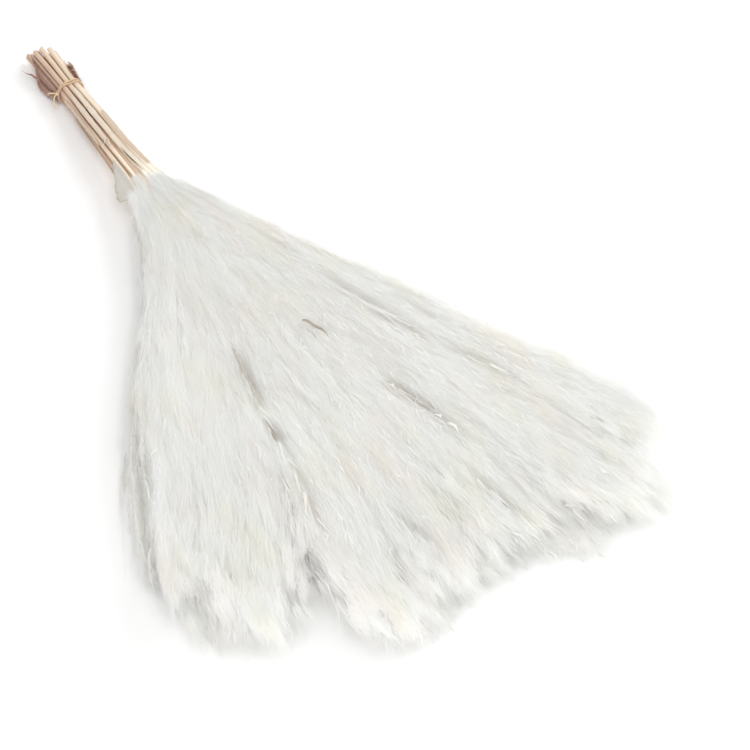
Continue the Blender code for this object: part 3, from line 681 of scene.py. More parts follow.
class Pile:
    """Triangles that are gathered into one mesh. Each point carries a tone and a place in the grain."""

    def __init__(self):
        self.points, self.faces, self.finishes, self.tones, self.grains = [], [], [], [], []
        self.count = 0

    def add(self, points, faces, finish=0, tone=0.5, grain=None):
        points = np.asarray(points, float).reshape(-1, 3)
        faces = np.asarray(faces, np.int64).reshape(-1, 3)
        self.points.append(points)
        self.faces.append(faces + self.count)
        self.finishes.append(np.full(len(faces), finish))
        self.tones.append(np.broadcast_to(np.asarray(tone, float), len(points)))
        self.grains.append(points if grain is None else np.asarray(grain, float).reshape(-1, 3))
        self.count += len(points)

    def build(self, name, materials, node):
        """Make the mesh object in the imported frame. It stands for a solid and rides on the body."""
        faces = np.concatenate(self.faces)
        mesh = bpy.data.meshes.new(name)
        mesh.vertices.add(self.count)
        mesh.vertices.foreach_set("co", (np.concatenate(self.points) + ORIGIN).astype(np.float32).ravel())
        mesh.loops.add(faces.size)
        mesh.loops.foreach_set("vertex_index", faces.astype(np.int32).ravel())
        mesh.polygons.add(len(faces))
        mesh.polygons.foreach_set("loop_start", np.arange(0, faces.size, 3, dtype=np.int32))
        mesh.polygons.foreach_set("material_index", np.concatenate(self.finishes).astype(np.int32))
        for label, kind, key, values in (
            ("tone", "FLOAT", "value", self.tones), ("grain", "FLOAT_VECTOR", "vector", self.grains),
        ):
            attribute = mesh.attributes.new(label, kind, "POINT")
            attribute.data.foreach_set(key, np.concatenate(values).astype(np.float32).ravel())
        mesh.update(calc_edges=True)
        mesh.validate()
        mesh.shade_smooth()
        for finish in materials:
            mesh.materials.append(finish)
        made = put_in_scene(name, mesh)
        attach(made, BODY)
        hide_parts(node)


def put_in_scene(name, data):
    """A new object in the scene."""
    made = bpy.data.objects.new(name, data)
    bpy.context.scene.collection.objects.link(made)
    return made


def grid_faces(rows, columns, closed=False):
    """Two triangles for each cell of a grid of points. A closed grid joins its last column to its first."""
    cells = columns if closed else columns - 1
    i, j = np.meshgrid(np.arange(rows - 1), np.arange(cells), indexing="ij")
    k = (j + 1) % columns
    a, b = i * columns + j, i * columns + k
    c, d = (i + 1) * columns + k, (i + 1) * columns + j
    return np.concatenate([np.stack([a, b, c], -1).reshape(-1, 3), np.stack([a, c, d], -1).reshape(-1, 3)])


def curve_through(points, count):
    """Evenly spaced points of a smooth curve through a few given ones."""
    points = np.array(points)
    stations = np.linspace(0.0, 1.0, len(points))
    t = np.linspace(0.0, 1.0, count)
    return np.stack([smooth_through(list(zip(stations, points[:, axis])))(t) for axis in range(3)], axis=-1)


def across_frames(path, square_to=(0.0, 0.0, 1.0)):
    """Two unit vectors across a path at each of its points, one of them square to a direction."""
    along = unit(np.gradient(path, axis=0))
    side = unit(np.cross(along, np.array(square_to)))
    return side, np.cross(side, along)


def run_along(path):
    """The length of a path up to each of its points."""
    return np.concatenate([[0.0], np.cumsum(np.linalg.norm(np.diff(path, axis=0), axis=1))])


def tube(path, radii, sides, square_to=(0.0, 0.0, 1.0)):
    """Points and faces of an open tube along a path, and each point's place in the straightened tube."""
    side, other = across_frames(path, square_to)
    angles = 2 * np.pi * np.arange(sides) / sides
    radii = np.broadcast_to(radii, len(path))
    round_y = radii[:, None] * np.cos(angles)
    round_z = radii[:, None] * np.sin(angles)
    points = path[:, None] + round_y[..., None] * side[:, None] + round_z[..., None] * other[:, None]
    run = run_along(path)
    grain = np.stack([np.broadcast_to(run[:, None], round_y.shape), round_y, round_z], axis=-1)
    return points.reshape(-1, 3), grid_faces(len(path), sides, closed=True), grain.reshape(-1, 3)


def raceme_paths(stem, draw):
    """Paths of the plume's racemes, as an array of (raceme, point, xyz)."""
    t = np.linspace(0.0, 1.0, PATH_POINTS)
    settings = []
    for number in range(BRANCHES):
        along = number / (BRANCHES - 1)
        inner = number % INNER_EVERY == INNER_EVERY - 1 or along == 1
        root = mix(stem.start, stem.tip, mix(*FIRST_LAST_ROOT, along))
        scatter = END_SCATTER * stem.random.random() * (1 - along)
        end = mix(stem.start, stem.tip, mix(*FIRST_LAST_END, along) - scatter)
        angle = number * GOLDEN_ANGLE + TURN_SCATTER * stem.random.random()
        reach = (INNER_REACH if inner else OUTER_REACH) - REACH_SCATTER * stem.random.random()
        sway = BRANCH_SWAY * (stem.random.random() - 0.5)
        settings.append((root, end, angle, reach, sway))
    for number in range(FILL_RACEMES):
        along = (number + 0.5) / FILL_RACEMES
        root = mix(stem.start, stem.tip, mix(*FILL_ROOTS, along))
        scatter = END_SCATTER * (draw.random() - FILL_END_BACK)
        end = mix(stem.start, stem.tip, mix(*FILL_ENDS, along) + scatter)
        angle = (number + 0.5) * GOLDEN_ANGLE + 2 * TURN_SCATTER * draw.random()
        reach = mix(*FILL_REACH, draw.random() ** FILL_CROWDING)
        settings.append((root, min(end, stem.tip), angle, reach, 2 * BRANCH_SWAY * (draw.random() - 0.5)))
    paths = []
    for root, end, angle, reach, sway in settings:
        x = mix(root, end, t)
        share = mix(ROOT_REACH, reach, np.sin(np.pi / 2 * np.minimum(t / SPREAD_BY, 1.0)))
        path = stem.section_points(x, angle + sway * t, share)
        waves = draw.uniform(0.0, 2 * np.pi, 2)
        turns = draw.uniform(*WAVE_TURNS, 2)
        fullness = np.minimum(t / SPREAD_BY, 1.0)
        path[:, 1] += PATH_WAVE * fullness * np.sin(waves[0] + 2 * np.pi * turns[0] * t)
        path[:, 2] += WAVE_RISE * PATH_WAVE * fullness * np.sin(waves[1] + 2 * np.pi * turns[1] * t)
        curl = ease((t - CURL_FROM) / (1 - CURL_FROM)) ** 1.5
        turned = draw.uniform(0.0, 2 * np.pi)
        reached = mix(*CURL_REACH, draw.random())
        path[:, 1] += reached * curl * np.cos(turned)
        path[:, 2] += CURL_RISE * reached * curl * np.sin(turned)
        path[:, 2] = np.maximum(path[:, 2], LOWEST_RACEME)
        paths.append(path)
    return np.array(paths)


def spots_on(paths, which, t):
    """Points and directions at shares t along the chosen paths."""
    place = np.clip(t, 0.0, 1.0) * (PATH_POINTS - 1)
    low = np.minimum(place.astype(int), PATH_POINTS - 2)
    share = (place - low)[:, None]
    start, end = paths[which, low], paths[which, low + 1]
    return mix(start, end, share), unit(end - start)


def radial_at(along, draw):
    """Random directions square to the given ones."""
    reference = unit(np.cross(along, np.array([0.0, 0.0, 1.0])))
    other = np.cross(reference, along)
    turned = draw.uniform(0.0, 2 * np.pi, len(along))[:, None]
    return np.cos(turned) * reference + np.sin(turned) * other


def outward_of(stem, points):
    """Unit directions from the plume's axis, across X."""
    y, z = stem.axis(points[:, 0])
    away = np.stack([np.zeros(len(points)), points[:, 1] - y, (points[:, 2] - z) * UPWARD_STRETCH], axis=-1)
    return unit(away + np.array([0.0, 0.0, UPWARD_AT_AXIS]))


def inner_share(stem, points):
    """How far out each point lies in the plume's cell, from 0 on the axis to 1 at the wall."""
    y, z = stem.axis(points[:, 0])
    wide, above, below = stem.cell(points[:, 0])
    up = points[:, 2] - z
    return np.clip(np.hypot((points[:, 1] - y) / wide, up / np.where(up > 0, above, below)), 0.0, 1.0)


def hair_roots(stem, paths, kind, draw):
    """Where hairs grow, their direction, outward direction, length and tone."""
    count, length, _, lean, outwards = kind
    runs = np.linalg.norm(np.diff(paths, axis=1), axis=2).sum(axis=1)
    which = draw.choice(len(paths), count, p=runs / runs.sum())
    t = mix(HAIRS_FROM, 1.0, draw.random(count) ** HAIRS_OUTWARD)
    roots, _ = spots_on(paths, which, t)
    spared = draw.random(count) < LOOSE_HAIR_SPARED * loose_at(stem, roots)
    instead = draw.choice(np.flatnonzero(~spared), spared.sum())
    which[spared], t[spared] = which[instead], t[instead]
    roots, along = spots_on(paths, which, t)
    out = outward_of(stem, roots)
    radial = unit(radial_at(along, draw) + outwards * out)
    wide, _, _ = stem.cell(np.clip(roots[:, 0], stem.start, stem.tip))
    loft = np.clip(wide / FULL_LOFT_WIDTH, LEAST_LOFT, 1.0)
    leaning = (draw.uniform(*lean, count) * loft)[:, None]
    direction = np.cos(leaning) * along + np.sin(leaning) * radial
    thinned = THIN_PLUME_LENGTH[0] + THIN_PLUME_LENGTH[1] * loft
    lengths = draw.uniform(*length, count) * thinned * (1 - END_HAIR_SHORTER * t**4)
    lengths = keep_short(stem, roots, lengths, END_FRINGE * draw.random(count))
    raceme_tones = draw.uniform(-RACEME_TONE_SCATTER, RACEME_TONE_SCATTER, len(paths))
    # Paler outwards: partly the bleached outer hair, partly painted shade deep in the plume
    tone = INNER_TONE[0] + INNER_TONE[1] * inner_share(stem, roots) + raceme_tones[which]
    tone = tone + draw.normal(0.0, HAIR_TONE_SCATTER, count)
    # Painted shade: hair is coloured darker at the plume's loose end and among the loose hairs at the fan's
    # edges
    fringe = np.maximum(fringe_at(roots[:, 0], stem.furthest), LOOSE_PAINTED_SHADE_SHARE * loose_at(stem, roots))
    tone = tone - FRINGE_PAINTED_SHADE * fringe
    facing = unit(radial + 0.9 * out + draw.normal(0.0, HAIR_FACING_SCATTER, (count, 3)))
    return roots, along, direction, facing, lengths, np.clip(tone, 0.0, 1.0)


def crease_at(spots):
    """How near each point is to a crease, from 0 to 1, which way it is pushed aside, and how much painted
    crease shade it takes.
    """
    nearness, painted_crease_shade = np.zeros((2, len(spots)))
    push = np.zeros((len(spots), 2))
    for _, depth, _, route in CREASES:
        route = np.array(route)
        margin = 2.5 * CREASE_SHADE_HALF_WIDTH
        inside = (spots[:, :2] > route.min(axis=0) - margin) & (spots[:, :2] < route.max(axis=0) + margin)
        near = np.flatnonzero(inside.all(axis=1) & (spots[:, 2] > CREASE_LOWEST))
        closest = np.full(len(near), np.inf)
        away, along = np.zeros((len(near), 2)), np.zeros(len(near))
        for number, (start, end) in enumerate(zip(route, route[1:])):
            step = end - start
            t = np.clip((spots[near, :2] - start) @ step / (step @ step), 0.0, 1.0)
            gap = spots[near, :2] - start - t[:, None] * step
            distance = np.linalg.norm(gap, axis=1)
            nearer = distance < closest
            closest = np.where(nearer, distance, closest)
            away = np.where(nearer[:, None], gap, away)
            along = np.where(nearer, (number + t) / (len(route) - 1), along)
        fade = depth * np.sin(np.pi * np.clip(along, 0.0, 1.0)) ** 0.6
        here = fade * np.exp(-((closest / CREASE_HALF_WIDTH) ** 2))
        nearness[near] = np.maximum(nearness[near], here)
        push[near] += unit(away) * here[:, None]
        # Painted crease shade: a tan darkening of the colour just beside the crease
        beside = np.where(away[:, 1] > 0, closest, -closest) - CREASE_SHADE_BESIDE
        painted_crease_shade[near] = np.maximum(painted_crease_shade[near], fade * np.exp(-((beside / CREASE_SHADE_HALF_WIDTH) ** 2)))
    return nearness, push, painted_crease_shade


def hold_edges(flat, shares):
    """Hair pressed softly back from the fan's two long edges, each hair from a reach of its own."""
    for name, direction, reach in (("lower_1", -1, outer_left), ("upper_7", 1, outer_right)):
        stem = stems[name]
        x = np.clip(flat[:, 0], stem.start, stem.tip)
        y, _ = stem.axis(x)
        limit = (reach(x) + EDGE_HAIR + EDGE_SOFTNESS) * mix(stem.dense_share(x), 1.0, shares)
        room = (1 - EDGE_FREE) * limit
        over = np.maximum(direction * (flat[:, 1] - y) - EDGE_FREE * limit, 0.0)
        flat[:, 1] += direction * (room * np.tanh(over / room) - over)


def settle(points):
    """Hair kept off the floor, parted at the creases and pressed softly back from its greatest reach."""
    flat = points.reshape(-1, 3)
    nearness, push, _ = crease_at(flat)
    flat[:, :2] += CREASE_PART * push
    flat[:, 2] -= CREASE_DEPTH * nearness
    hairs = np.arange(len(flat)) // (points.shape[1] if points.ndim == 3 else 1)
    hold_edges(flat, hairs * GOLDEN_SHARE % 1.0 if points.ndim == 3 else 1.0)
    for axis, direction, limit in HAIR_LIMITS:
        over = np.maximum(direction * flat[:, axis] - (limit - SETTLING_DEPTH), 0.0)
        flat[:, axis] += direction * (SETTLING_DEPTH * np.tanh(over / SETTLING_DEPTH) - over)
    flat[:, 2] = np.maximum(flat[:, 2], LOWEST_HAIR)
    return flat.reshape(points.shape)


def keep_short(stem, roots, lengths, setback):
    """Hair lengths that end at the plume's ragged end."""
    room = stem.furthest - setback - roots[:, 0]
    return np.minimum(lengths, np.maximum(room, SHORTEST_HAIR))


def loose_at(stem, points):
    """How far each point lies into the loose hairs at the fan's long edges, from 0 to 1."""
    y, _ = stem.axis(points[:, 0])
    reach = outer_left(points[:, 0]) if stem.packed_place < 0 else outer_right(points[:, 0])
    dense = stem.dense_share(points[:, 0])
    return ease(np.sign(stem.packed_place) * (points[:, 1] - y) / reach - dense) * (1 - dense)


def fringe_at(x, furthest):
    """How far into the loose hairs at a plume's end each place lies, from 0 to 1."""
    return ease((x - furthest + FRINGE_PAINTED_SHADE_WITHIN) / FRINGE_PAINTED_SHADE_WITHIN)


def repeat_faces(faces, corners, count):
    """The same faces for each of many small forms that have this many corners."""
    start = corners * np.arange(count)[:, None]
    return np.concatenate([start + np.array(face) for face in faces])


def add_hair_mesh(pile, corners, faces, roots, tone, shades):
    """Hairs of one form, darkened with painted crease shade beside a crease and shaded from root to tip."""
    # Painted crease shade darkens the hair's colour beside a crease
    tone = tone - CREASE_SHADE * crease_at(roots)[2]
    tones = np.clip(tone[:, None] + np.array(shades), 0, 1).ravel()
    pile.add(settle(np.stack(corners, axis=1)), repeat_faces(faces, len(corners), len(roots)), 0, tones)


def add_slivers(pile, roots, tips, side, tone):
    """Straight hairs, each one triangle that tapers from its root to a point."""
    add_hair_mesh(pile, [roots - side, roots + side, tips], [(0, 1, 2)], roots, tone, SLIVER_SHADES)


def add_ribbons(pile, roots, middles, tips, side, tone):
    """Bent ribbons that taper from root to tip."""
    corners = [roots - side, roots + side, middles - 0.8 * side, middles + 0.8 * side, tips]
    add_hair_mesh(pile, corners, [(0, 1, 3), (0, 3, 2), (2, 3, 4)], roots, tone, RIBBON_SHADES)


def add_hairs(pile, stem, paths, kind, draw, curved=True):
    """Hairs of one kind. Curved ones are bent ribbons that lean back along the raceme and sag a little."""
    count, _, width, _, _ = kind
    roots, along, direction, facing, lengths, tone = hair_roots(stem, paths, kind, draw)
    reach = lengths[:, None]
    if curved:
        bend = HAIR_BACK_BEND * along + draw.normal(0.0, HAIR_BEND_SCATTER, (count, 3)) + np.array(HAIR_SAG)
    side = unit(np.cross(direction, facing)) * draw.uniform(*width, count)[:, None] / 2
    if not curved:
        add_slivers(pile, roots, roots + direction * reach, side, tone)
        return
    middles = roots + direction * reach * 0.52 + bend * reach * 0.1
    tips = roots + direction * reach * 0.92 + bend * reach * 0.62
    add_ribbons(pile, roots, middles, tips, side, tone)


def add_felt(pile, stem):
    """The dense inner fluff: a ridged body with a rounded end, which the hairs stand out of."""
    t = np.linspace(0.0, 1.0, FELT_ROWS)[:, None]
    x = mix(stem.start, mix(stem.start, stem.end, FELT_END), t)
    angle = 2 * np.pi * np.arange(FELT_COLUMNS)[None] / FELT_COLUMNS
    nose = np.clip((t - FELT_NOSE_FROM) / (1 - FELT_NOSE_FROM), 0.0, 0.9999)
    closing = (1 - nose**FELT_NOSE_POWER) ** (1 / FELT_NOSE_POWER)
    closing = closing * mix(FELT_AT_NECK, 1.0, ease((x - stem.start) / FELT_GROWN_WITHIN))
    share = FELT_SHARE * closing * (1 + stem.ridges(x, angle))
    points = stem.edge_points(x, angle, share, 1 / FELT_SHARE, stem.dense_share(x))
    # Painted crease shade darkens the felt's colour beside a crease
    shade = CREASE_SHADE * crease_at(points.reshape(-1, 3))[2]
    points = settle(points)
    height = stem.ridges(x, angle) / sum(ridge[1] for ridge in FELT_RIDGES)
    arc = angle * stem.edge_half_width(x)
    grain = np.stack([*np.broadcast_arrays(x, arc, stem.place)], axis=-1)
    # Painted light and shade: lighter colour on the ridges, darker between them
    tone = FELT_TONE + FELT_RIDGE_PAINTED_LIGHT * height.ravel() - shade
    pile.add(points, grid_faces(FELT_ROWS, FELT_COLUMNS, closed=True)[:, ::-1], 3, tone, grain)


def tuft_places(stem, draw):
    """Stations and angles of the coat's tufts, even over the fluff and denser on its upper side."""
    stations = np.linspace(stem.start, stem.end - BRUSH_BACK, 60)
    t = (stations - stem.start) / (stem.end - stem.start)
    brush = ease((t - BRUSH_FROM) / (1 - BRUSH_FROM))
    grown = mix(NECK_THINNED, 1.0, ease((stations - stem.start) / FELT_GROWN_WITHIN))
    width = stem.edge_half_width(stations) + COAT_THIN_WIDTH
    crowding = np.cumsum(width * (1 + BRUSH_CROWDING * brush) * grown)
    x = np.interp(draw.random(TUFTS), crowding / crowding[-1], stations)
    at_neck = draw.random(TUFTS) < NECK_SHARE
    x = np.where(at_neck, stem.start - NECK_BACK + NECK_LENGTH * draw.random(TUFTS), x)
    kept_in = draw.random(TUFTS) < LOOSE_SPARED * (1 - stem.dense_share(x))
    setback = END_FRINGE * draw.random(TUFTS)
    x = x - setback * np.clip((x - stem.start) / (stem.end - stem.start), 0.0, 1.0)
    even_across = draw.random(TUFTS) < EVEN_ACROSS_SHARE
    angle = np.where(even_across, np.arccos(draw.uniform(-1.0, 1.0, TUFTS)), np.pi * draw.random(TUFTS))
    outer = stem.packed_place * np.cos(angle) > 0
    angle = np.where(kept_in & outer, np.pi - angle, angle)
    return x, np.where(draw.random(TUFTS) < UPPER_HALF_SHARE, angle, -angle), setback


def thatch_points(stem, x, place, height, outer_share):
    """Points over the top of a plume and a little past its sides, which bridge it to its neighbours."""
    y, z = stem.axis(x)
    left, right = stem.edge_reaches(x)
    _, above, _ = stem.cell(x)
    outer = stem.faces_out(place)
    place = place * np.where(outer, outer_share / THATCH_PAST, 1.0)
    height = height * np.where(outer, 1 - 0.6 * place**2, 1.0)
    return np.stack([x, y + place * np.where(place > 0, right, left), z + above * height], axis=-1)


def add_tuft_hairs(pile, bases, tuft_frame, direction, lengths, shares, tone, late_scatter, draw):
    """The hairs of tufts. They start beside a tuft's base, wander off and are gathered towards its tip."""
    along, around, out, spreads = tuft_frame
    count = len(bases) * TUFT_HAIRS

    def each(values):
        return np.repeat(values, TUFT_HAIRS, axis=0)

    spread = draw.normal(0.0, 0.5, (count, 3)) * np.array(TUFT_SPREAD) * each(spreads)[:, None]
    roots = each(bases) + spread[:, :1] * each(along)
    roots = roots + spread[:, 1:2] * each(around) + spread[:, 2:] * each(out)
    wandering = each(direction) + draw.normal(0.0, HAIR_WANDER, (count, 3))
    tips = roots + wandering * (each(lengths) * draw.uniform(*shares, count))[:, None]
    tuft_tips = bases + direction * lengths[:, None]
    tips = mix(tips, each(tuft_tips), draw.uniform(*TUFT_GATHER, count)[:, None])
    facing = unit(each(out) + draw.normal(0.0, FACING_SCATTER, (count, 3)))
    side = unit(np.cross(tips - roots, facing)) * draw.uniform(*COAT_HAIR_WIDTH, count)[:, None] / 2
    if late_scatter:
        tone = tone + draw.normal(0.0, TUFT_TONE_SCATTER, len(bases))
    add_slivers(pile, roots, tips, side, each(tone) + draw.normal(0.0, TUFT_HAIR_TONE_SCATTER, count))


def add_coat(pile, stem, draw):
    """Tufts of straight hairs that lie along the plume, cover it evenly and splay at its end."""
    x, angle, setback = tuft_places(stem, draw)
    ridge = stem.ridges(x, angle)
    t = (x - stem.start) / (stem.end - stem.start)
    outer = mix(stem.dense_share(x), 1.0, draw.random(TUFTS) ** LOOSE_POWER)
    brush = ease((t - BRUSH_FROM) / (1 - BRUSH_FROM))
    depth = mix(*TUFT_DEPTHS, draw.random(TUFTS))
    depth = mix(depth, draw.uniform(*BRUSH_DEPTHS, TUFTS), brush) * (1 + ridge)
    thatch = (draw.random(TUFTS) < THATCH_SHARE)[:, None]
    place = draw.uniform(-THATCH_PAST, THATCH_PAST, TUFTS)
    height = mix(*THATCH_HEIGHTS, draw.random(TUFTS)) * (1 + ridge)

    def base_points(x):
        inside = stem.edge_points(x, angle, depth, 1.0, outer)
        return np.where(thatch, thatch_points(stem, x, place, height, outer), inside)

    bases = base_points(x)
    along = unit(base_points(x + NEXT_POINT) - bases)
    out = outward_of(stem, bases)
    out = unit(np.where(thatch, out + np.array(THATCH_LIFT), out))
    around = unit(np.cross(along, out))
    loft = np.clip(stem.edge_half_width(x) / FULL_LOFT_WIDTH, LEAST_LOFT, 1.0)
    lean = draw.uniform(*TUFT_LEAN, TUFTS) * loft + BRUSH_LEAN * brush * draw.random(TUFTS)
    swing = 0.0
    for (share, along_x, round_axis), phase in zip(FLOWS, stem.phases):
        swing = swing + share * FLOW_SWING * np.sin(along_x * x + round_axis * angle + phase)
    swing = swing + draw.normal(0.0, TUFT_SWING, TUFTS) * (1 + 2 * brush)
    direction = unit(along + np.tan(lean)[:, None] * out + swing[:, None] * around)
    lengths = draw.uniform(*TUFT_LENGTH, TUFTS) * (0.55 + 0.45 * loft) * (1 - BRUSH_SHORTER * brush)
    lengths = keep_short(stem, bases, lengths, setback)
    loose = (outer - stem.dense_share(x)) * (stem.packed_place * (bases[:, 1] - stem.axis(x)[0]) > 0)
    # Painted shade: tufts are coloured darker at the plume's loose end and among the loose hairs at the
    # fan's edges
    fringe = np.maximum(fringe_at(x, stem.furthest), LOOSE_PAINTED_SHADE_SHARE * loose)
    # Painted light and shade: tufts on the ridges are coloured lighter, those between them darker
    tone = TUFT_TONE + RIDGE_PAINTED_LIGHT * ridge - FRINGE_PAINTED_SHADE * fringe
    tone = tone + draw.normal(0.0, TUFT_TONE_SCATTER, TUFTS)
    tuft_frame = along, around, out, loft
    add_tuft_hairs(pile, bases, tuft_frame, direction, lengths, TUFT_HAIR_SHARES, tone, False, draw)


def add_curls(pile, stem, draw):
    """Short curled hair tips and husks that lie loosely on the coat."""
    count = int(mix(*CURLS, (stem.packed_place + 1) / 2))
    x = mix(stem.start, stem.tip, draw.random(count) ** CURL_CROWDING)
    angle = np.arccos(draw.uniform(-0.9, 0.9, count))
    x = x - CURL_SETBACK * draw.random(count)
    share = CURL_STAND_OFF * (1 + stem.ridges(x, angle))
    bases = stem.edge_points(x, angle, share, 1.0, stem.dense_share(x))
    ahead = stem.edge_points(x + NEXT_POINT, angle, share, 1.0, stem.dense_share(x))
    along = unit(ahead - bases)
    out = outward_of(stem, bases)
    around = unit(np.cross(along, out))
    swing = draw.normal(*CURL_SWING, (count, 1))
    direction = unit(along + swing * around)
    reach = draw.uniform(*CURL_LENGTHS, (count, 1))
    side = unit(np.cross(direction, out)) * draw.uniform(*CURL_WIDTHS, (count, 1)) / 2
    middles = bases + reach * (0.55 * direction + 0.2 * out)
    lift = draw.uniform(-0.1, 0.25, (count, 1))
    tips = bases + reach * (0.95 * direction + lift * out - 0.25 * swing * around)
    add_ribbons(pile, bases, middles, tips, side, draw.uniform(*CURL_TONES, count))


def veil_points(one, other, starts, s, t):
    """Points of the fluff's skin between two plumes that lie side by side in the whole fan."""
    ends = mix(one.furthest, other.furthest, s) - USUAL_END_PAST
    x = mix(starts, ends, t)
    tops = []
    for stem in (one, other):
        inside = np.minimum(x, stem.tip)
        y, z = stem.axis(inside)
        _, above, _ = stem.cell(inside)
        tops.append((y, z + VEIL_HEIGHT * above))
    if (one.name, other.name) == OUTER_VEIL:
        (low_y, low_z), (y, z) = tops
        left, _ = one.edge_reaches(np.minimum(x, one.tip))
        dense = dense_left(x)
        rim_y = low_y - RIM_SHARE * left * dense
        rim_z = low_z * mix(*RIM_HEIGHTS, dense)
        rim_part, bulge_part = (1 - s) ** 2, 2 * s * (1 - s)
        y = rim_part * rim_y + bulge_part * mix(rim_y, y, RIM_BULGE[0]) + s**2 * y
        z = rim_part * rim_z + bulge_part * mix(z, rim_z, RIM_BULGE[1]) + s**2 * z
        return np.stack([x, y, z], axis=-1)
    level = centre_z(x) + (1 + UPWARD_ROOM * VEIL_HEIGHT) * layer_half_gap(x)
    sunk = ease((t - VEIL_SINKS_FROM) / (1 - VEIL_SINKS_FROM))
    (y, z), (other_y, other_z) = [
        (y, mix(level, z, sunk) if stem.layer == "lower" else z) for stem, (y, z) in zip((one, other), tops)
    ]
    return np.stack([x, mix(y, other_y, s), mix(z, other_z, ease(s))], axis=-1)


def notch_back(notch, s):
    """How far a veil's end draws back between its two plumes."""
    return notch * np.exp(-(((s - NOTCH_MIDDLE) / NOTCH_HALF_WIDTH) ** 2))


def add_veil_felt(pile, one, other, starts_at, notch):
    """The dense fluff under a veil of tufts, which closes the gap between two plumes."""
    starts = mix(one.start, one.tip, starts_at)
    s, t = np.meshgrid(np.linspace(0.0, 1.0, VEIL_GRID[1]), np.linspace(0.0, 1.0, VEIL_GRID[0]))
    shortened = (notch_back(notch, s) + VEIL_FELT_BACK) / (one.tip - starts)
    grid = veil_points(one, other, starts, s, t * (1 - shortened))
    grid[..., 2] -= VEIL_FELT_DEPTH + VEIL_FELT_DROP * t**5
    grid[..., 2] = np.maximum(grid[..., 2], VEIL_FELT_LOWEST)
    add_sheet(pile, grid, VEIL_FELT_TONE, 3, VEIL_FELT_THICKNESS)


def add_veil(pile, one, other, starts_at, notch, draw):
    """Tufts that bridge two plumes side by side in the whole fan, where one layer ends over the other."""
    count = OUTER_VEIL_TUFTS if (one.name, other.name) == OUTER_VEIL else VEIL_TUFTS
    starts = mix(one.start, one.tip, starts_at)
    s = draw.uniform(*VEIL_SPAN, count)
    back = notch_back(notch, s) + END_FRINGE * draw.random(count)
    t = draw.random(count) ** VEIL_THINNING * np.clip(1 - back / (one.tip - starts), 0.05, 1.0)
    bases = veil_points(one, other, starts, s, t)
    along = unit(veil_points(one, other, starts, s, t + 0.03) - bases)
    beside = unit(veil_points(one, other, starts, s + 0.05, t) - bases)
    out = unit(np.cross(along, beside))
    out = out * np.sign(out[:, 2:])
    bases = bases + draw.uniform(*VEIL_DEPTHS, count)[:, None] * out
    swing = draw.normal(0.0, VEIL_SWING * TUFT_SWING, count)[:, None]
    direction = unit(along + swing * beside + draw.uniform(*VEIL_LEAN, count)[:, None] * out)
    furthest = mix(one.furthest, other.furthest, s)
    room = furthest - bases[:, 0] - back
    lengths = np.minimum(draw.uniform(*VEIL_LENGTH, count), np.maximum(room, SHORTEST_HAIR))
    # Painted shade: the veil's tufts are coloured darker towards the plumes' loose ends
    tone = TUFT_TONE - FRINGE_PAINTED_SHADE * fringe_at(bases[:, 0], furthest)
    tuft_frame = along, beside, out, np.ones(count)
    add_tuft_hairs(pile, bases, tuft_frame, direction, lengths, VEIL_HAIR_SHARES, tone, True, draw)


def add_spikelets(pile, paths, draw):
    """Slender husked seeds along each raceme, on alternate sides."""
    which, t, flips = [], [], []
    for number, path in enumerate(paths):
        count = int((1 - SPIKELETS_FROM) * run_along(path)[-1] / SPIKELET_STEP)
        which += [number] * count
        t += list(mix(SPIKELETS_FROM, 1.0, (np.arange(count) + 0.6) / count))
        flips += [1 if i % 2 else -1 for i in range(count)]
    which, t, flips = np.array(which), np.array(t), np.array(flips)[:, None]
    roots, along = spots_on(paths, which, t)
    reference = unit(np.cross(along, np.array([0.0, 0.0, 1.0])))
    turned = draw.uniform(-0.6, 0.6, len(t))[:, None]
    radial = flips * (np.cos(turned) * reference + np.sin(turned) * np.cross(reference, along))
    axis = unit(along + SPIKELET_LEAN * radial)
    length = SPIKELET_LENGTH * draw.uniform(0.8, 1.15, len(t))[:, None]
    side = unit(np.cross(axis, radial))
    other = np.cross(axis, side)
    middle = roots + axis * length * SPIKELET_WIDEST_AT
    corners = [roots + radial * SPIKELET_RADIUS * 0.3]
    for angle in (0.5, 2.6, 4.7):
        corners.append(middle + SPIKELET_RADIUS * (math.cos(angle) * side + math.sin(angle) * other))
    corners.append(roots + axis * length)
    points = settle(np.stack(corners, axis=1))
    around = [(0, 2, 1), (0, 3, 2), (0, 1, 3), (4, 1, 2), (4, 2, 3), (4, 3, 1)]
    tone = np.repeat(draw.uniform(0.1, 0.9, len(t)), len(corners))
    pile.add(points, repeat_faces(around, len(corners), len(t)), 2, tone)


def add_wires(pile, stem, paths, draw):
    """The plume's axis and the thin wire of each raceme."""
    x = np.linspace(stem.start - PLUME_GAP, mix(stem.start, stem.tip, 0.9), 30)
    path = np.stack([x, *stem.axis(x)], axis=-1)
    t = np.linspace(0.0, 1.0, len(x))
    points, faces, grain = tube(path, mix(stem.culm_radius(stem.start), 0.0004, t**0.8), 8)
    pile.add(points, faces, 1, 0.35, grain)
    for raceme in paths:
        kept = raceme[::WIRE_EVERY]
        radii = np.linspace(*WIRE_RADIUS, len(kept))
        points, faces, grain = tube(kept, radii, WIRE_SIDES)
        pile.add(points, faces, 1, draw.uniform(0.4, 0.9), grain)


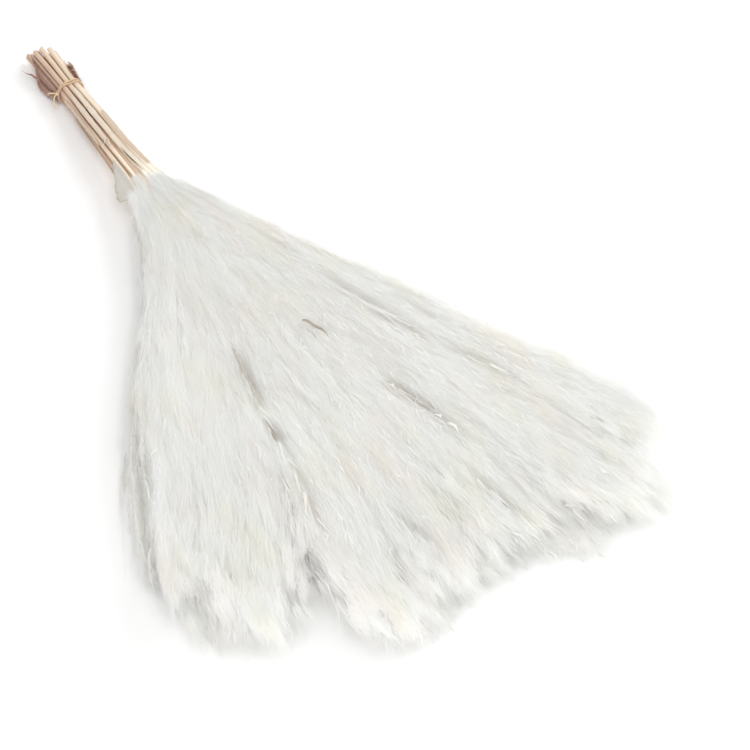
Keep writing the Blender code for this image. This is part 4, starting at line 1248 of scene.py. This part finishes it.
def add_crease_stalks(pile, stem):
    """The tan axes that show in the creases of this plume."""
    for name, _, darkness, route in CREASES:
        if name != stem.name or darkness < LEAST_DARKNESS:
            continue
        x, y = curve_through([(*place, 0.0) for place in route], 26)[:, :2].T
        z = centre_z(x) + (1 + UPWARD_ROOM) * layer_half_gap(x) - CREASE_STALK_SUNK
        ends = abs(np.linspace(-1.0, 1.0, len(x)))
        dips = 0.0008 * (1 + np.sin(330 * x)) + 0.004 * ends**4
        path = np.stack([x, y + 0.0004 * np.sin(90 * x), z - dips], axis=-1)
        radii = CREASE_STALK_RADIUS * (1 - 0.75 * ends**3) * min(darkness, CREASE_STALK_WIDEST)
        points, faces, grain = tube(path, radii, 6)
        pile.add(points, faces, 4, CREASE_STALK_TONE[0] - CREASE_STALK_TONE[1] * darkness, grain)


def build_plume(stem):
    """A plume with its hair, and its veils towards the plumes on its right."""
    draw = np.random.default_rng([ord(letter) for letter in stem.name])
    paths = raceme_paths(stem, draw)
    pile = Pile()
    add_felt(pile, stem)
    add_wires(pile, stem, paths, draw)
    add_crease_stalks(pile, stem)
    add_spikelets(pile, paths, draw)
    add_hairs(pile, stem, paths, FINE_HAIRS, draw, curved=False)
    add_coat(pile, stem, draw)
    add_curls(pile, stem, draw)
    for one, other, starts_at, notch in VEILS:
        if one == stem.name:
            add_veil_felt(pile, stem, stems[other], starts_at, notch)
            add_veil(pile, stem, stems[other], starts_at, notch, draw)
    add_hairs(pile, stem, paths, LONG_HAIRS, draw)
    add_hairs(pile, stem, paths, WISPS, draw)
    finishes = [materials[name] for name in ("hair", "wire", "spikelet", "felt", "axis")]
    pile.build(f"fluff_{stem.name}", finishes, f"plume_{stem.name}")


def build_culm(stem):
    """A round culm with swollen joints and a slanted, hollow cut end."""
    end = stem.start + 0.004
    x = np.arange(stem.cut_x, end, CULM_STEP)
    for joint in stem.joints:
        x = np.concatenate([x, joint + JOINT_HALF_LENGTH * np.array([-1.2, -0.5, -0.15, 0.15, 0.5, 1.2])])
    x = np.unique(np.append(x, end))
    radius = stem.culm_radius(x)
    for joint in stem.joints:
        radius = radius + JOINT_SWELL * np.exp(-(((x - joint) / (0.45 * JOINT_HALF_LENGTH)) ** 2))
    path = np.stack([x, *stem.axis(x)], axis=-1)
    points, faces, grain = tube(path, radius, CULM_SIDES)
    rings = points.reshape(len(x), CULM_SIDES, 3)
    butt = rings[0]
    around = np.arctan2(butt[:, 2] - path[0, 2], butt[:, 1] - path[0, 1])
    rings[0, :, 0] += stem.slant * radius[0] * np.cos(around - stem.slant_angle)
    tone = CULM_TONE + CULM_TONE_SPREAD * (stem.random.random() - 0.5)
    pile = Pile()
    paler = CULM_PALER * ease((x - CULM_PALER_FROM) / (end - CULM_PALER_FROM))
    pile.add(rings, faces, 0, np.repeat(tone + paler, CULM_SIDES), grain)
    rim = mix(path[0], rings[0], CULM_WALL_SHARE)
    rim[:, 0] = rings[0, :, 0]
    pith = rim + np.array([PITH_DEPTH, 0.0, 0.0])
    wall = np.concatenate([rings[0], rim, pith])
    faces = grid_faces(3, CULM_SIDES, closed=True)[:, ::-1]
    pile.add(wall, faces, 1, CUT_WALL_TONE, np.zeros_like(wall))
    hollow = np.concatenate([pith.mean(axis=0)[None], pith])
    fan = [(0, j + 1, (j + 1) % CULM_SIDES + 1) for j in range(CULM_SIDES)]
    pile.add(hollow, fan, 1, CUT_HOLLOW_TONE, np.zeros_like(hollow))
    finishes = [materials["straw"], materials["pith"]]
    pile.build(f"culm_{stem.name}", finishes, f"stem_{stem.name}")


def band_points(x, offset, shares):
    """(y, z) points of a tight band round the bundle, at shares of the way from its left on under it."""
    centres = np.array([stem.axis(x) for stem in stems.values()])
    radii = np.array([stem.culm_radius(x) for stem in stems.values()]) + offset
    angles = np.linspace(np.pi, 3 * np.pi, 361)
    outward = np.stack([np.cos(angles), np.sin(angles)], axis=-1)
    holding = (centres @ outward.T + radii[:, None]).argmax(axis=0)
    points = centres[holding] + radii[holding, None] * outward
    run = run_along(points)
    reached = np.mod(shares, 1.0) * run[-1]
    return np.stack([np.interp(reached, run, points[:, 0]), np.interp(reached, run, points[:, 1])], axis=-1)


def add_strand(pile, path, square_to, tone=0.5):
    """Twisted plies along a path. Returns their centres."""
    side, other = across_frames(path, square_to)
    run = run_along(path)
    centres = []
    for ply in range(PLIES):
        turned = (2 * np.pi * (run / PLY_PITCH + ply / PLIES))[:, None]
        centre = path + (TWINE_RADIUS - PLY_RADIUS) * (np.cos(turned) * side + np.sin(turned) * other)
        points, faces, grain = tube(centre, PLY_RADIUS, PLY_SIDES, square_to)
        pile.add(points, faces, 0, tone, grain)
        centres.append(centre)
    return np.concatenate(centres)


def add_fuzz(pile, spots, count, length, width, spread, aim, draw, tone=0.8):
    """Loose fibres that stand off at random spots."""
    roots = spots[draw.integers(0, len(spots), count)]
    direction = unit(np.array(aim) + draw.normal(0.0, spread, (count, 3)))
    tips = roots + direction * draw.uniform(*length, count)[:, None]
    side = unit(np.cross(direction, draw.normal(0.0, 1.0, (count, 3)))) * width / 2
    points = np.stack([roots - side, roots + side, tips], axis=1)
    points[..., 2] = np.maximum(points[..., 2], LOWEST_HAIR)
    pile.add(points, np.arange(count * 3).reshape(-1, 3), 0, tone)


def build_twine():
    """Two turns of twisted twine that meet in a knot at the bundle's left, with two frayed ends."""
    draw = np.random.default_rng(5)
    pile = Pile()
    shares = np.arange(TWINE_STEPS + 1) / TWINE_STEPS
    outline = band_points(TIE_X, TWINE_GAP + TWINE_RADIUS, shares)
    left = np.array([TIE_X, *outline[0]])
    along_bundle = (1.0, 0.0, 0.0)
    spots = []
    for side in (-1, 1):
        apart = mix(TURNS_AT_KNOT, TURNS_APART, ease((outline[:, 0] - left[1]) / TURNS_PART_WITHIN))
        path = np.stack([TIE_X + side * apart, outline[:, 0], outline[:, 1]], axis=-1)
        spots.append(add_strand(pile, path, along_bundle))
    knot = left - np.array([0.0, KNOT_RADII[1] - TWINE_RADIUS, 0.0])
    a = np.linspace(0.0, 2 * np.pi, KNOT_STEPS)
    across_loops, along_loops = np.sin(a) + 2 * np.sin(2 * a), np.cos(a) - 2 * np.cos(2 * a)
    loops = np.stack([across_loops, along_loops, -np.sin(3 * a)], axis=-1)
    room = np.array(KNOT_RADII) - TWINE_RADIUS
    spots.append(add_strand(pile, knot + loops / 3 * room, (0.3, 0.5, 1.0), 0.75))
    for path in TWINE_ENDS:
        end = curve_through(knot + np.array(path), 34)
        spots.append(add_strand(pile, end, (0.0, 0.0, 1.0), 0.65))
        aim = unit(end[-1] - end[-4])
        add_fuzz(pile, end[-3:], FRAYED_FIBRES, FRAYED_LENGTH, FRAYED_WIDTH, 0.35, aim, draw)
    spots = np.concatenate(spots)
    add_fuzz(pile, spots, TWINE_FUZZ, FUZZ_LENGTH, FUZZ_WIDTH, 1.0, (0.0, -0.2, 0.3), draw)
    pile.build("tied_twine", [materials["twine"]], "twine_tie")


def add_sheet(pile, grid, tone, finish=0, thickness=FINE_SHEET_THICKNESS):
    """A thin sheet through a grid of points, with both its faces and its edge."""
    rows, columns = grid.shape[:2]
    offset = unit(np.cross(np.gradient(grid, axis=0), np.gradient(grid, axis=1))) * thickness / 2
    run = np.linalg.norm(np.diff(grid, axis=0, prepend=grid[:1]), axis=2).cumsum(axis=0)
    over = np.linalg.norm(np.diff(grid, axis=1, prepend=grid[:, :1]), axis=2).cumsum(axis=1)
    grain = np.stack([run, over, np.zeros_like(run)], axis=-1)
    faces = grid_faces(rows, columns)
    tone = np.broadcast_to(tone, (rows, columns)).ravel()
    pile.add(grid + offset, faces, finish, tone, grain)
    pile.add(grid - offset, faces[:, ::-1], finish, tone, grain)
    i = np.concatenate([np.zeros(columns), np.arange(1, rows), np.full(columns - 1, rows - 1)]).astype(int)
    j = np.concatenate([np.arange(columns), np.full(rows - 1, columns - 1), np.arange(columns - 2, -1, -1)])
    i = np.concatenate([i, np.arange(rows - 2, -1, -1)])
    j = np.concatenate([j, np.zeros(rows - 1, int)])
    rim = np.stack([(grid - offset)[i, j], (grid + offset)[i, j]])
    rim_grain = np.stack([grain[i, j]] * 2)
    rim_tone = np.concatenate([tone.reshape(rows, columns)[i, j]] * 2)
    pile.add(rim, grid_faces(2, len(i)), finish, rim_tone, rim_grain)


def on_culm(stem, x, degrees, stand_off):
    """Points at this distance off a culm's surface, at an angle round it."""
    x, degrees, stand_off = np.broadcast_arrays(x, degrees, stand_off)
    y, z = stem.axis(x)
    radius = stem.culm_radius(x) + JOINT_SWELL + SHEATH_GAP + SHEATH_THICKNESS / 2 + stand_off
    angle = np.radians(degrees)
    return np.stack([x, y + radius * np.cos(angle), z + radius * np.sin(angle)], axis=-1)


def add_curled_strip(pile, start, path, half_width, tone):
    """A narrow torn strip that twists along its path to a point."""
    route = curve_through(start + np.array(path), 30)
    side, other = across_frames(route)
    t = np.linspace(0.0, 1.0, len(route))[:, None]
    turned = 2.6 * t
    across = (np.cos(turned) * side + np.sin(turned) * other) * half_width * (1 - 0.9 * t**2)
    cup = 0.35 * half_width * (1 - t) * (np.sin(turned) * side - np.cos(turned) * other)
    grid = np.stack([route - across, route + cup, route + across], axis=1)
    add_sheet(pile, grid, tone)


def build_sheath(number):
    """A papery sheath that hugs a stem, with veins, wavy edges and torn, lifted ends."""
    stem_name, first_x, last_x, facing, wrap, tone = SHEATHS[number]
    stem = stems[stem_name]
    name = f"sheath_{number + 1}"
    steady = random.Random(name)
    waves = [SHEATH_WAVE * steady.random() for _ in range(SHEATH_DRAWS)]
    draw = np.random.default_rng(40 + number)
    along = np.linspace(0.0, 1.0, SHEATH_ROWS)[:, None]
    turn = np.linspace(-1.0, 1.0, SHEATH_COLUMNS)[None]
    wave = np.interp(along, np.linspace(0.0, 1.0, SHEATH_DRAWS), waves)
    torn = SHEATH_TORN * np.cumsum(draw.normal(0.0, SHEATH_TEAR_STEP, (SHEATH_ROWS, 2)), axis=0)
    torn = np.where(turn < 0, torn[:, :1], torn[:, 1:]) * abs(turn) ** 3
    ends = abs(2 * along - 1)
    span = wrap * (1 - SHEATH_TAPER * ends**3) * (1 - wave) * (1 + torn)
    edge_lift = SHEATH_EDGE_LIFT * abs(turn) ** 4 * (0.4 + 0.6 * np.sin(17 * along) ** 2)
    lift = SHEATH_END_LIFT * ends**6 + edge_lift + SHEATH_RIPPLE * np.sin(60 * along + 3 * turn)
    fray = SHEATH_FRAY * (draw.random(SHEATH_COLUMNS)[None] - 0.5) * ends**14
    x = mix(first_x, last_x, along + fray)
    grid = on_culm(stem, x, facing + span * turn, lift)
    pile = Pile()
    add_sheet(pile, grid, tone + SHEATH_EDGE_TONE * abs(turn) ** 3 * (1 if tone > 0.6 else -1))
    # A dark sheet just off the sheath, painted as the shadow under its curled edge
    if stem_name == PAINTED_SHADOW_ON:
        route = np.linspace(0.0, 1.0, 24)[:, None]
        middle = PAINTED_SHADOW_FACING + PAINTED_SHADOW_SWING * np.sin(5.0 * route)
        half = PAINTED_SHADOW_HALF_SPAN * np.sin(np.pi * np.clip(route, 0.02, 0.98)) * np.array([[-1.0, 0.0, 1.0]])
        add_sheet(pile, on_culm(stem, mix(*PAINTED_SHADOW_REACH, route), middle + half, PAINTED_SHADOW_STAND_OFF), PAINTED_SHADOW_TONE)
    if stem_name == TORN_STRIPS_ON:
        start = on_culm(stem, TORN_STRIP_AT, facing, 0.0)
        for path in TORN_STRIPS:
            add_curled_strip(pile, start, path, TORN_STRIP_HALF_WIDTH, 0.95)
    pile.build(f"papery_{name}", [materials["sheath"]], name)


def build_flap():
    """The thin leaf that hangs off the left side, waved and with tan edges."""
    stem = stems[FLAP_STEM]
    rows, columns = FLAP_GRID
    x = np.linspace(FLAP_REACH[0][0], FLAP_REACH[-1][0], rows)[:, None]
    place = np.linspace(0.0, 1.0, columns)[None]
    stations = np.linspace(0.0, 1.0, len(FLAP_COLUMNS))
    degrees, share = [smooth_through(list(zip(stations, column)))(place) for column in zip(*FLAP_COLUMNS)]
    reach = smooth_through(FLAP_REACH)(x) * (1 + FLAP_EDGE_WAVE * np.sin(900 * x))
    wave = FLAP_WAVE * np.sin(420 * x + 9 * place) * place
    grid = on_culm(stem, x, degrees, FLAP_SHARE * reach * share + wave)
    to_edge = np.minimum(1 - place, 3 * np.minimum(x - x[0], x[-1] - x) / (x[-1] - x[0]))
    tone = FLAP_TONE - FLAP_EDGE_DARKER * np.exp(-to_edge / FLAP_EDGE_WITHIN)
    pile = Pile()
    add_sheet(pile, grid, tone)
    pile.build("thin_leaf_flap", [materials["leaf"]], "leaf_flap")


def build_husk(name):
    """A ragged scrap of dry brown sheath against the butt, with split fibres at its torn edges."""
    (first_x, last_x), (first_share, last_share), stand_off = HUSKS[name]
    steady = random.Random(name)
    ragged_rows = [steady.random() - 0.5 for _ in range(HUSK_DRAWS)]
    draw = np.random.default_rng(len(name) * 7)
    rows, columns = HUSK_GRID
    across = np.linspace(0.0, 1.0, columns)
    torn = HUSK_TORN_ALONG * np.convolve(draw.normal(0.0, 1.0, columns + 2), SMOOTHING, "valid")
    jagged = HUSK_TORN_ROUND * draw.normal(0.0, 1.0, rows)
    grid = np.zeros((rows, columns, 3))
    for i, along in enumerate(np.linspace(0.0, 1.0, rows)):
        ragged = np.interp(along, np.linspace(0.0, 1.0, HUSK_DRAWS), ragged_rows)
        x = mix(first_x, last_x, along)
        opened = mix(HUSK_BUTT_SHARE, 1.0, ease(along / HUSK_OPENS_WITHIN))
        widest = mix(first_share, last_share, opened)
        shares = mix(first_share, widest, across) + (HUSK_RAGGED_ROUND * ragged + jagged[i]) * across**2
        opening = opened * math.sin(math.pi * mix(*HUSK_OPENING, along))
        close = band_points(x, HUSK_STAND_OFF, shares)
        loose = band_points(x, HUSK_STAND_OFF + stand_off, shares)
        place = mix(close, loose, (opening * across**2)[:, None])
        rippled = HUSK_RIPPLE * np.sin(34 * across + 5 * along)
        away = unit(place - np.array([centre_y(x), centre_z(x)]))
        grid[i, :, 0] = x + HUSK_RAGGED_ALONG * ragged * across + torn * (2 * along - 1) ** 7
        grid[i, :, 1:] = place + away * rippled[:, None]
    grid[..., 2] = np.maximum(grid[..., 2], HUSK_LOWEST)
    pile = Pile()
    streaks = HUSK_STREAKS * np.convolve(draw.normal(0.0, 1.0, columns + 2), SMOOTHING, "valid")
    darker_base = HUSK_DARKER * np.exp(-across / HUSK_DARKER_WITHIN)
    mottle = HUSK_MOTTLE * draw.normal(0.0, 1.0, (rows, 1))
    add_sheet(pile, grid, HUSK_TONE - darker_base + streaks[None] + mottle)
    for edge, length, spread, aim, tone in (
        (grid[0, 2:], FIBRE_LENGTH, 0.3, (-1.0, 0.0, 0.0), 0.7),
        (grid[-1, 2:], FIBRE_LENGTH, 0.25, (1.0, 0.0, 0.0), 0.7),
        (grid[:, -1], SIDE_FIBRE_LENGTH, 0.8, (0.3, 0.0, 0.2), 0.6),
    ):
        add_fuzz(pile, edge, HUSK_FIBRES, length, FIBRE_WIDTH, spread, aim, draw, tone)
    if name == CURL_ON:
        add_curled_strip(pile, grid[int(CURL_ALONG * rows), -1], CURL, CURL_HALF_WIDTH, CURL_TONE)
    pile.build(f"ragged_{name}", [materials["husk"]], name)


class Shading:
    """A new material's nodes. Most methods add nodes and give the socket that the result comes out of."""

    def __init__(self, name):
        self.material = bpy.data.materials.new(name)
        self.material.use_nodes = True
        self.nodes, self.links = self.material.node_tree.nodes, self.material.node_tree.links
        self.shader = self.nodes["Principled BSDF"]

    def feed(self, node, inputs):
        """Link a node's inputs to sockets, and set those that are given a value."""
        for name, value in inputs.items():
            if isinstance(value, bpy.types.NodeSocket):
                self.links.new(value, node.inputs[name])
            else:
                node.inputs[name].default_value = value

    def add(self, kind, inputs, output=0, **settings):
        node = self.nodes.new(f"ShaderNode{kind}")
        for name, value in settings.items():
            setattr(node, name, value)
        self.feed(node, inputs)
        return node.outputs[output]

    def ramp(self, place, stops):
        """A colour ramp with (place, colour) stops."""
        colour = self.add("ValToRGB", {"Fac": place}, "Color")
        elements = colour.node.color_ramp.elements
        while len(elements) < len(stops):
            elements.new(0.5)
        for element, (position, shade) in zip(elements, stops):
            element.position = position
            element.color = (*shade, 1.0)
        return colour

    def noise(self, vector, scale, stretch=(1.0, 1.0, 1.0), detail=4.0):
        """Noise in the given coordinates, which are stretched first."""
        stretched = self.add("Mapping", {"Vector": vector, "Scale": stretch})
        return self.add("TexNoise", {"Vector": stretched, "Scale": scale, "Detail": detail}, "Fac")

    def maths(self, operation, a, b):
        return self.add("Math", {0: a, 1: b}, operation=operation)

    def mix_colours(self, share, a, b, blend="MIX"):
        return self.add("Mix", {"Factor": share, 6: a, 7: b}, 2, data_type="RGBA", blend_type=blend)

    def tint_in_patches(self, colour, grain, offset, tint):
        """The colour, tinted in soft patches. The offset moves the patches in the grain."""
        moved = self.add("VectorMath", {0: grain, 1: (offset, offset, offset)}, operation="ADD")
        spots = self.noise(moved, 1.0, *TINT_PATCHES)
        sharp = self.add("MapRange", {"From Min": 0.5, "From Max": 0.68, "Value": spots}, "Result")
        return self.mix_colours(sharp, colour, self.mix_colours(1.0, colour, (*tint, 1.0), "MULTIPLY"))

    def stand_up(self, height, strength, distance):
        """A bump on the surface."""
        inputs = {"Height": height, "Strength": strength, "Distance": distance}
        self.feed(self.shader, {"Normal": self.add("Bump", inputs, "Normal")})

    def let_light_through(self, colour, share):
        """Mix in light that comes through from behind, as in a thin dry blade."""
        through = self.add("BsdfTranslucent", {"Color": colour})
        both = self.add("MixShader", {"Fac": share, 1: self.shader.outputs["BSDF"], 2: through})
        self.feed(self.nodes["Material Output"], {"Surface": both})


def dry_material(
    name, stops, noises, roughness, lowered=0.0, specular=0.5, sheen=0.0, bump=None, through=0.0, tints=(),
):
    """A dry skin. A piece's tone and a share of each noise in its grain are a place on a colour ramp.
    A noise is (share, scale, stretch, detail), and the first one also stands up as a bump."""
    made = Shading(name)
    grain = made.add("Attribute", {}, "Vector", attribute_name="grain")
    place = made.add("Attribute", {}, "Fac", attribute_name="tone")
    heights = []
    for share, scale, stretch, detail in noises:
        heights.append(made.noise(grain, scale, stretch, detail))
        place = made.maths("ADD", place, made.maths("MULTIPLY", heights[-1], share))
    if lowered:
        place = made.maths("SUBTRACT", place, lowered)
    colour = made.ramp(place, stops)
    for offset, tint in tints:
        colour = made.tint_in_patches(colour, grain, offset, tint)
    made.feed(made.shader, {
        "Base Color": colour, "Roughness": roughness, "Specular IOR Level": specular, "Sheen Weight": sheen,
    })
    if bump:
        made.stand_up(heights[0], *bump)
    if through:
        made.let_light_through(colour, through)
    return made.material


def veined_material(name, stops, stretch, roughness, through, bump):
    """A dry skin with veins along its grain, which stand up a little."""
    noises = ((0.5, 1.0, stretch, 5.0), (0.4, 0.16, stretch, 2.0))
    return dry_material(
        name, stops, noises, roughness, lowered=0.45, bump=(bump, VEIN_HEIGHT), through=through,
    )


def pith_material():
    """Cut end of a culm: pale wall and spongy pith."""
    made = Shading("pith")
    tone = made.add("Attribute", {}, "Fac", attribute_name="tone")
    pores = made.noise(made.add("TexCoord", {}, "Object"), 2600.0)
    colour = made.ramp(made.maths("MULTIPLY", made.maths("ADD", tone, 0.5), pores), PITH_COLOURS)
    made.feed(made.shader, {"Base Color": colour, "Roughness": 0.85})
    made.stand_up(pores, 0.6, 0.0004)
    return made.material


def build_floor():
    """A plain pale studio floor."""
    made = Shading("floor")
    colour = made.ramp(made.noise(made.add("TexCoord", {}, "Object"), 3.0), FLOOR_COLOURS)
    made.feed(made.shader, {"Base Color": colour, "Roughness": 0.8, "Specular IOR Level": 0.1})
    mesh = bpy.data.meshes.new("floor")
    half = FLOOR_HALF_WIDTH
    corners = [(-half, -half, 0.0), (half, -half, 0.0), (half, half, 0.0), (-half, half, 0.0)]
    mesh.from_pydata(corners, [], [(0, 1, 2, 3)])
    mesh.materials.append(made.material)
    floor = put_in_scene("floor", mesh)


def add_area_light(name, place, aim, size, power):
    data = bpy.data.lights.new(name, "AREA")
    data.shape = "SQUARE"
    data.size = size
    data.energy = power
    light = put_in_scene(name, data)
    light.location = place
    light.rotation_mode = "QUATERNION"
    light.rotation_quaternion = (Vector(aim) - Vector(place)).to_track_quat("-Z", "Y")


def light_studio():
    """White surroundings, a large soft box beyond the plume tips and a weaker one on the fan's right."""
    world = bpy.data.worlds.new("studio")
    world.use_nodes = True
    world.node_tree.nodes["Background"].inputs["Color"].default_value = (1.0, 1.0, 1.0, 1.0)
    world.node_tree.nodes["Background"].inputs["Strength"].default_value = 0.61
    bpy.context.scene.world = world
    add_area_light("soft_box", (1.55, -0.85, 2.6), (-0.05, 0.0, 0.0), 1.8, 57.0)
    add_area_light("side_fill", (0.0, 1.8, 1.8), (-0.15, 0.0, 0.0), 1.6, 29.0)


def add_camera():
    away = Vector((
        math.sin(CAMERA_AZIMUTH) * math.cos(CAMERA_ELEVATION),
        -math.cos(CAMERA_AZIMUTH) * math.cos(CAMERA_ELEVATION),
        math.sin(CAMERA_ELEVATION),
    ))
    data = bpy.data.cameras.new("camera")
    data.lens = CAMERA_LENS
    data.sensor_width = 36.0
    data.clip_end = 20.0
    camera = put_in_scene("camera", data)
    camera.location = LOOKED_AT + away * CAMERA_DISTANCE
    camera.rotation_mode = "QUATERNION"
    camera.rotation_quaternion = (-away).to_track_quat("-Z", "Y")
    bpy.context.scene.camera = camera


add_camera()
light_studio()
build_floor()
bpy.context.scene.view_settings.view_transform = "Standard"
bpy.context.scene.cycles.max_bounces = 12
bpy.context.scene.cycles.diffuse_bounces = 8
bpy.context.scene.cycles.transmission_bounces = 8

materials = {
    "hair": dry_material(
        "silky_hair", HAIR_COLOURS, ((0.35, 9.0, (1.0, 3.0, 3.0), 2.0),), 0.6,
        specular=0.25, sheen=0.15, through=0.5, tints=HAIR_TINTS,
    ),
    "felt": dry_material(
        "plume_felt", FELT_COLOURS,
        ((0.16, 1.0, (34.0, 1500.0, 1500.0), 4.0), (0.2, 1.0, (12.0, 90.0, 90.0), 2.0)),
        0.7, specular=0.2, sheen=0.2, bump=(0.5, 0.0012), through=0.4,
    ),
    "wire": dry_material(
        "raceme_wire", WIRE_COLOURS, ((0.3, 60.0, (1.0, 40.0, 40.0), 4.0),), 0.55, bump=(0.4, 0.0002),
    ),
    "axis": dry_material(
        "plume_axis", AXIS_COLOURS, ((0.4, 1.0, (60.0, 2200.0, 2200.0), 4.0),), 0.6, bump=(0.4, 0.0002),
    ),
    "spikelet": dry_material(
        "spikelet", SPIKELET_COLOURS, ((0.3, 900.0, (1.0, 1.0, 1.0), 4.0),), 0.5, through=0.2,
    ),
    "straw": dry_material(
        "straw_culm", STRAW_COLOURS,
        ((0.45, 1.0, (30.0, 2600.0, 2600.0), 5.0), (0.5, 1.0, (22.0, 260.0, 260.0), 2.0)),
        0.38, lowered=0.45, bump=(0.35, 0.0003),
    ),
    "pith": pith_material(),
    "twine": veined_material("twisted_jute", TWINE_COLOURS, (700.0, 4200.0, 4200.0), 0.8, 0.0, 0.6),
    "sheath": veined_material("papery_sheath", SHEATH_COLOURS, (26.0, 2400.0, 2400.0), 0.48, 0.25, 0.5),
    "leaf": veined_material("thin_leaf", LEAF_COLOURS, (26.0, 1500.0, 1500.0), 0.45, 0.6, 0.4),
    "husk": veined_material("ragged_husk", HUSK_COLOURS, (40.0, 1800.0, 1800.0), 0.62, 0.4, 0.8),
}
stems = make_stems()
for stem in stems.values():
    build_plume(stem)
    build_culm(stem)
build_twine()
for number in range(len(SHEATHS)):
    build_sheath(number)
build_flap()
for name in HUSKS:
    build_husk(name)
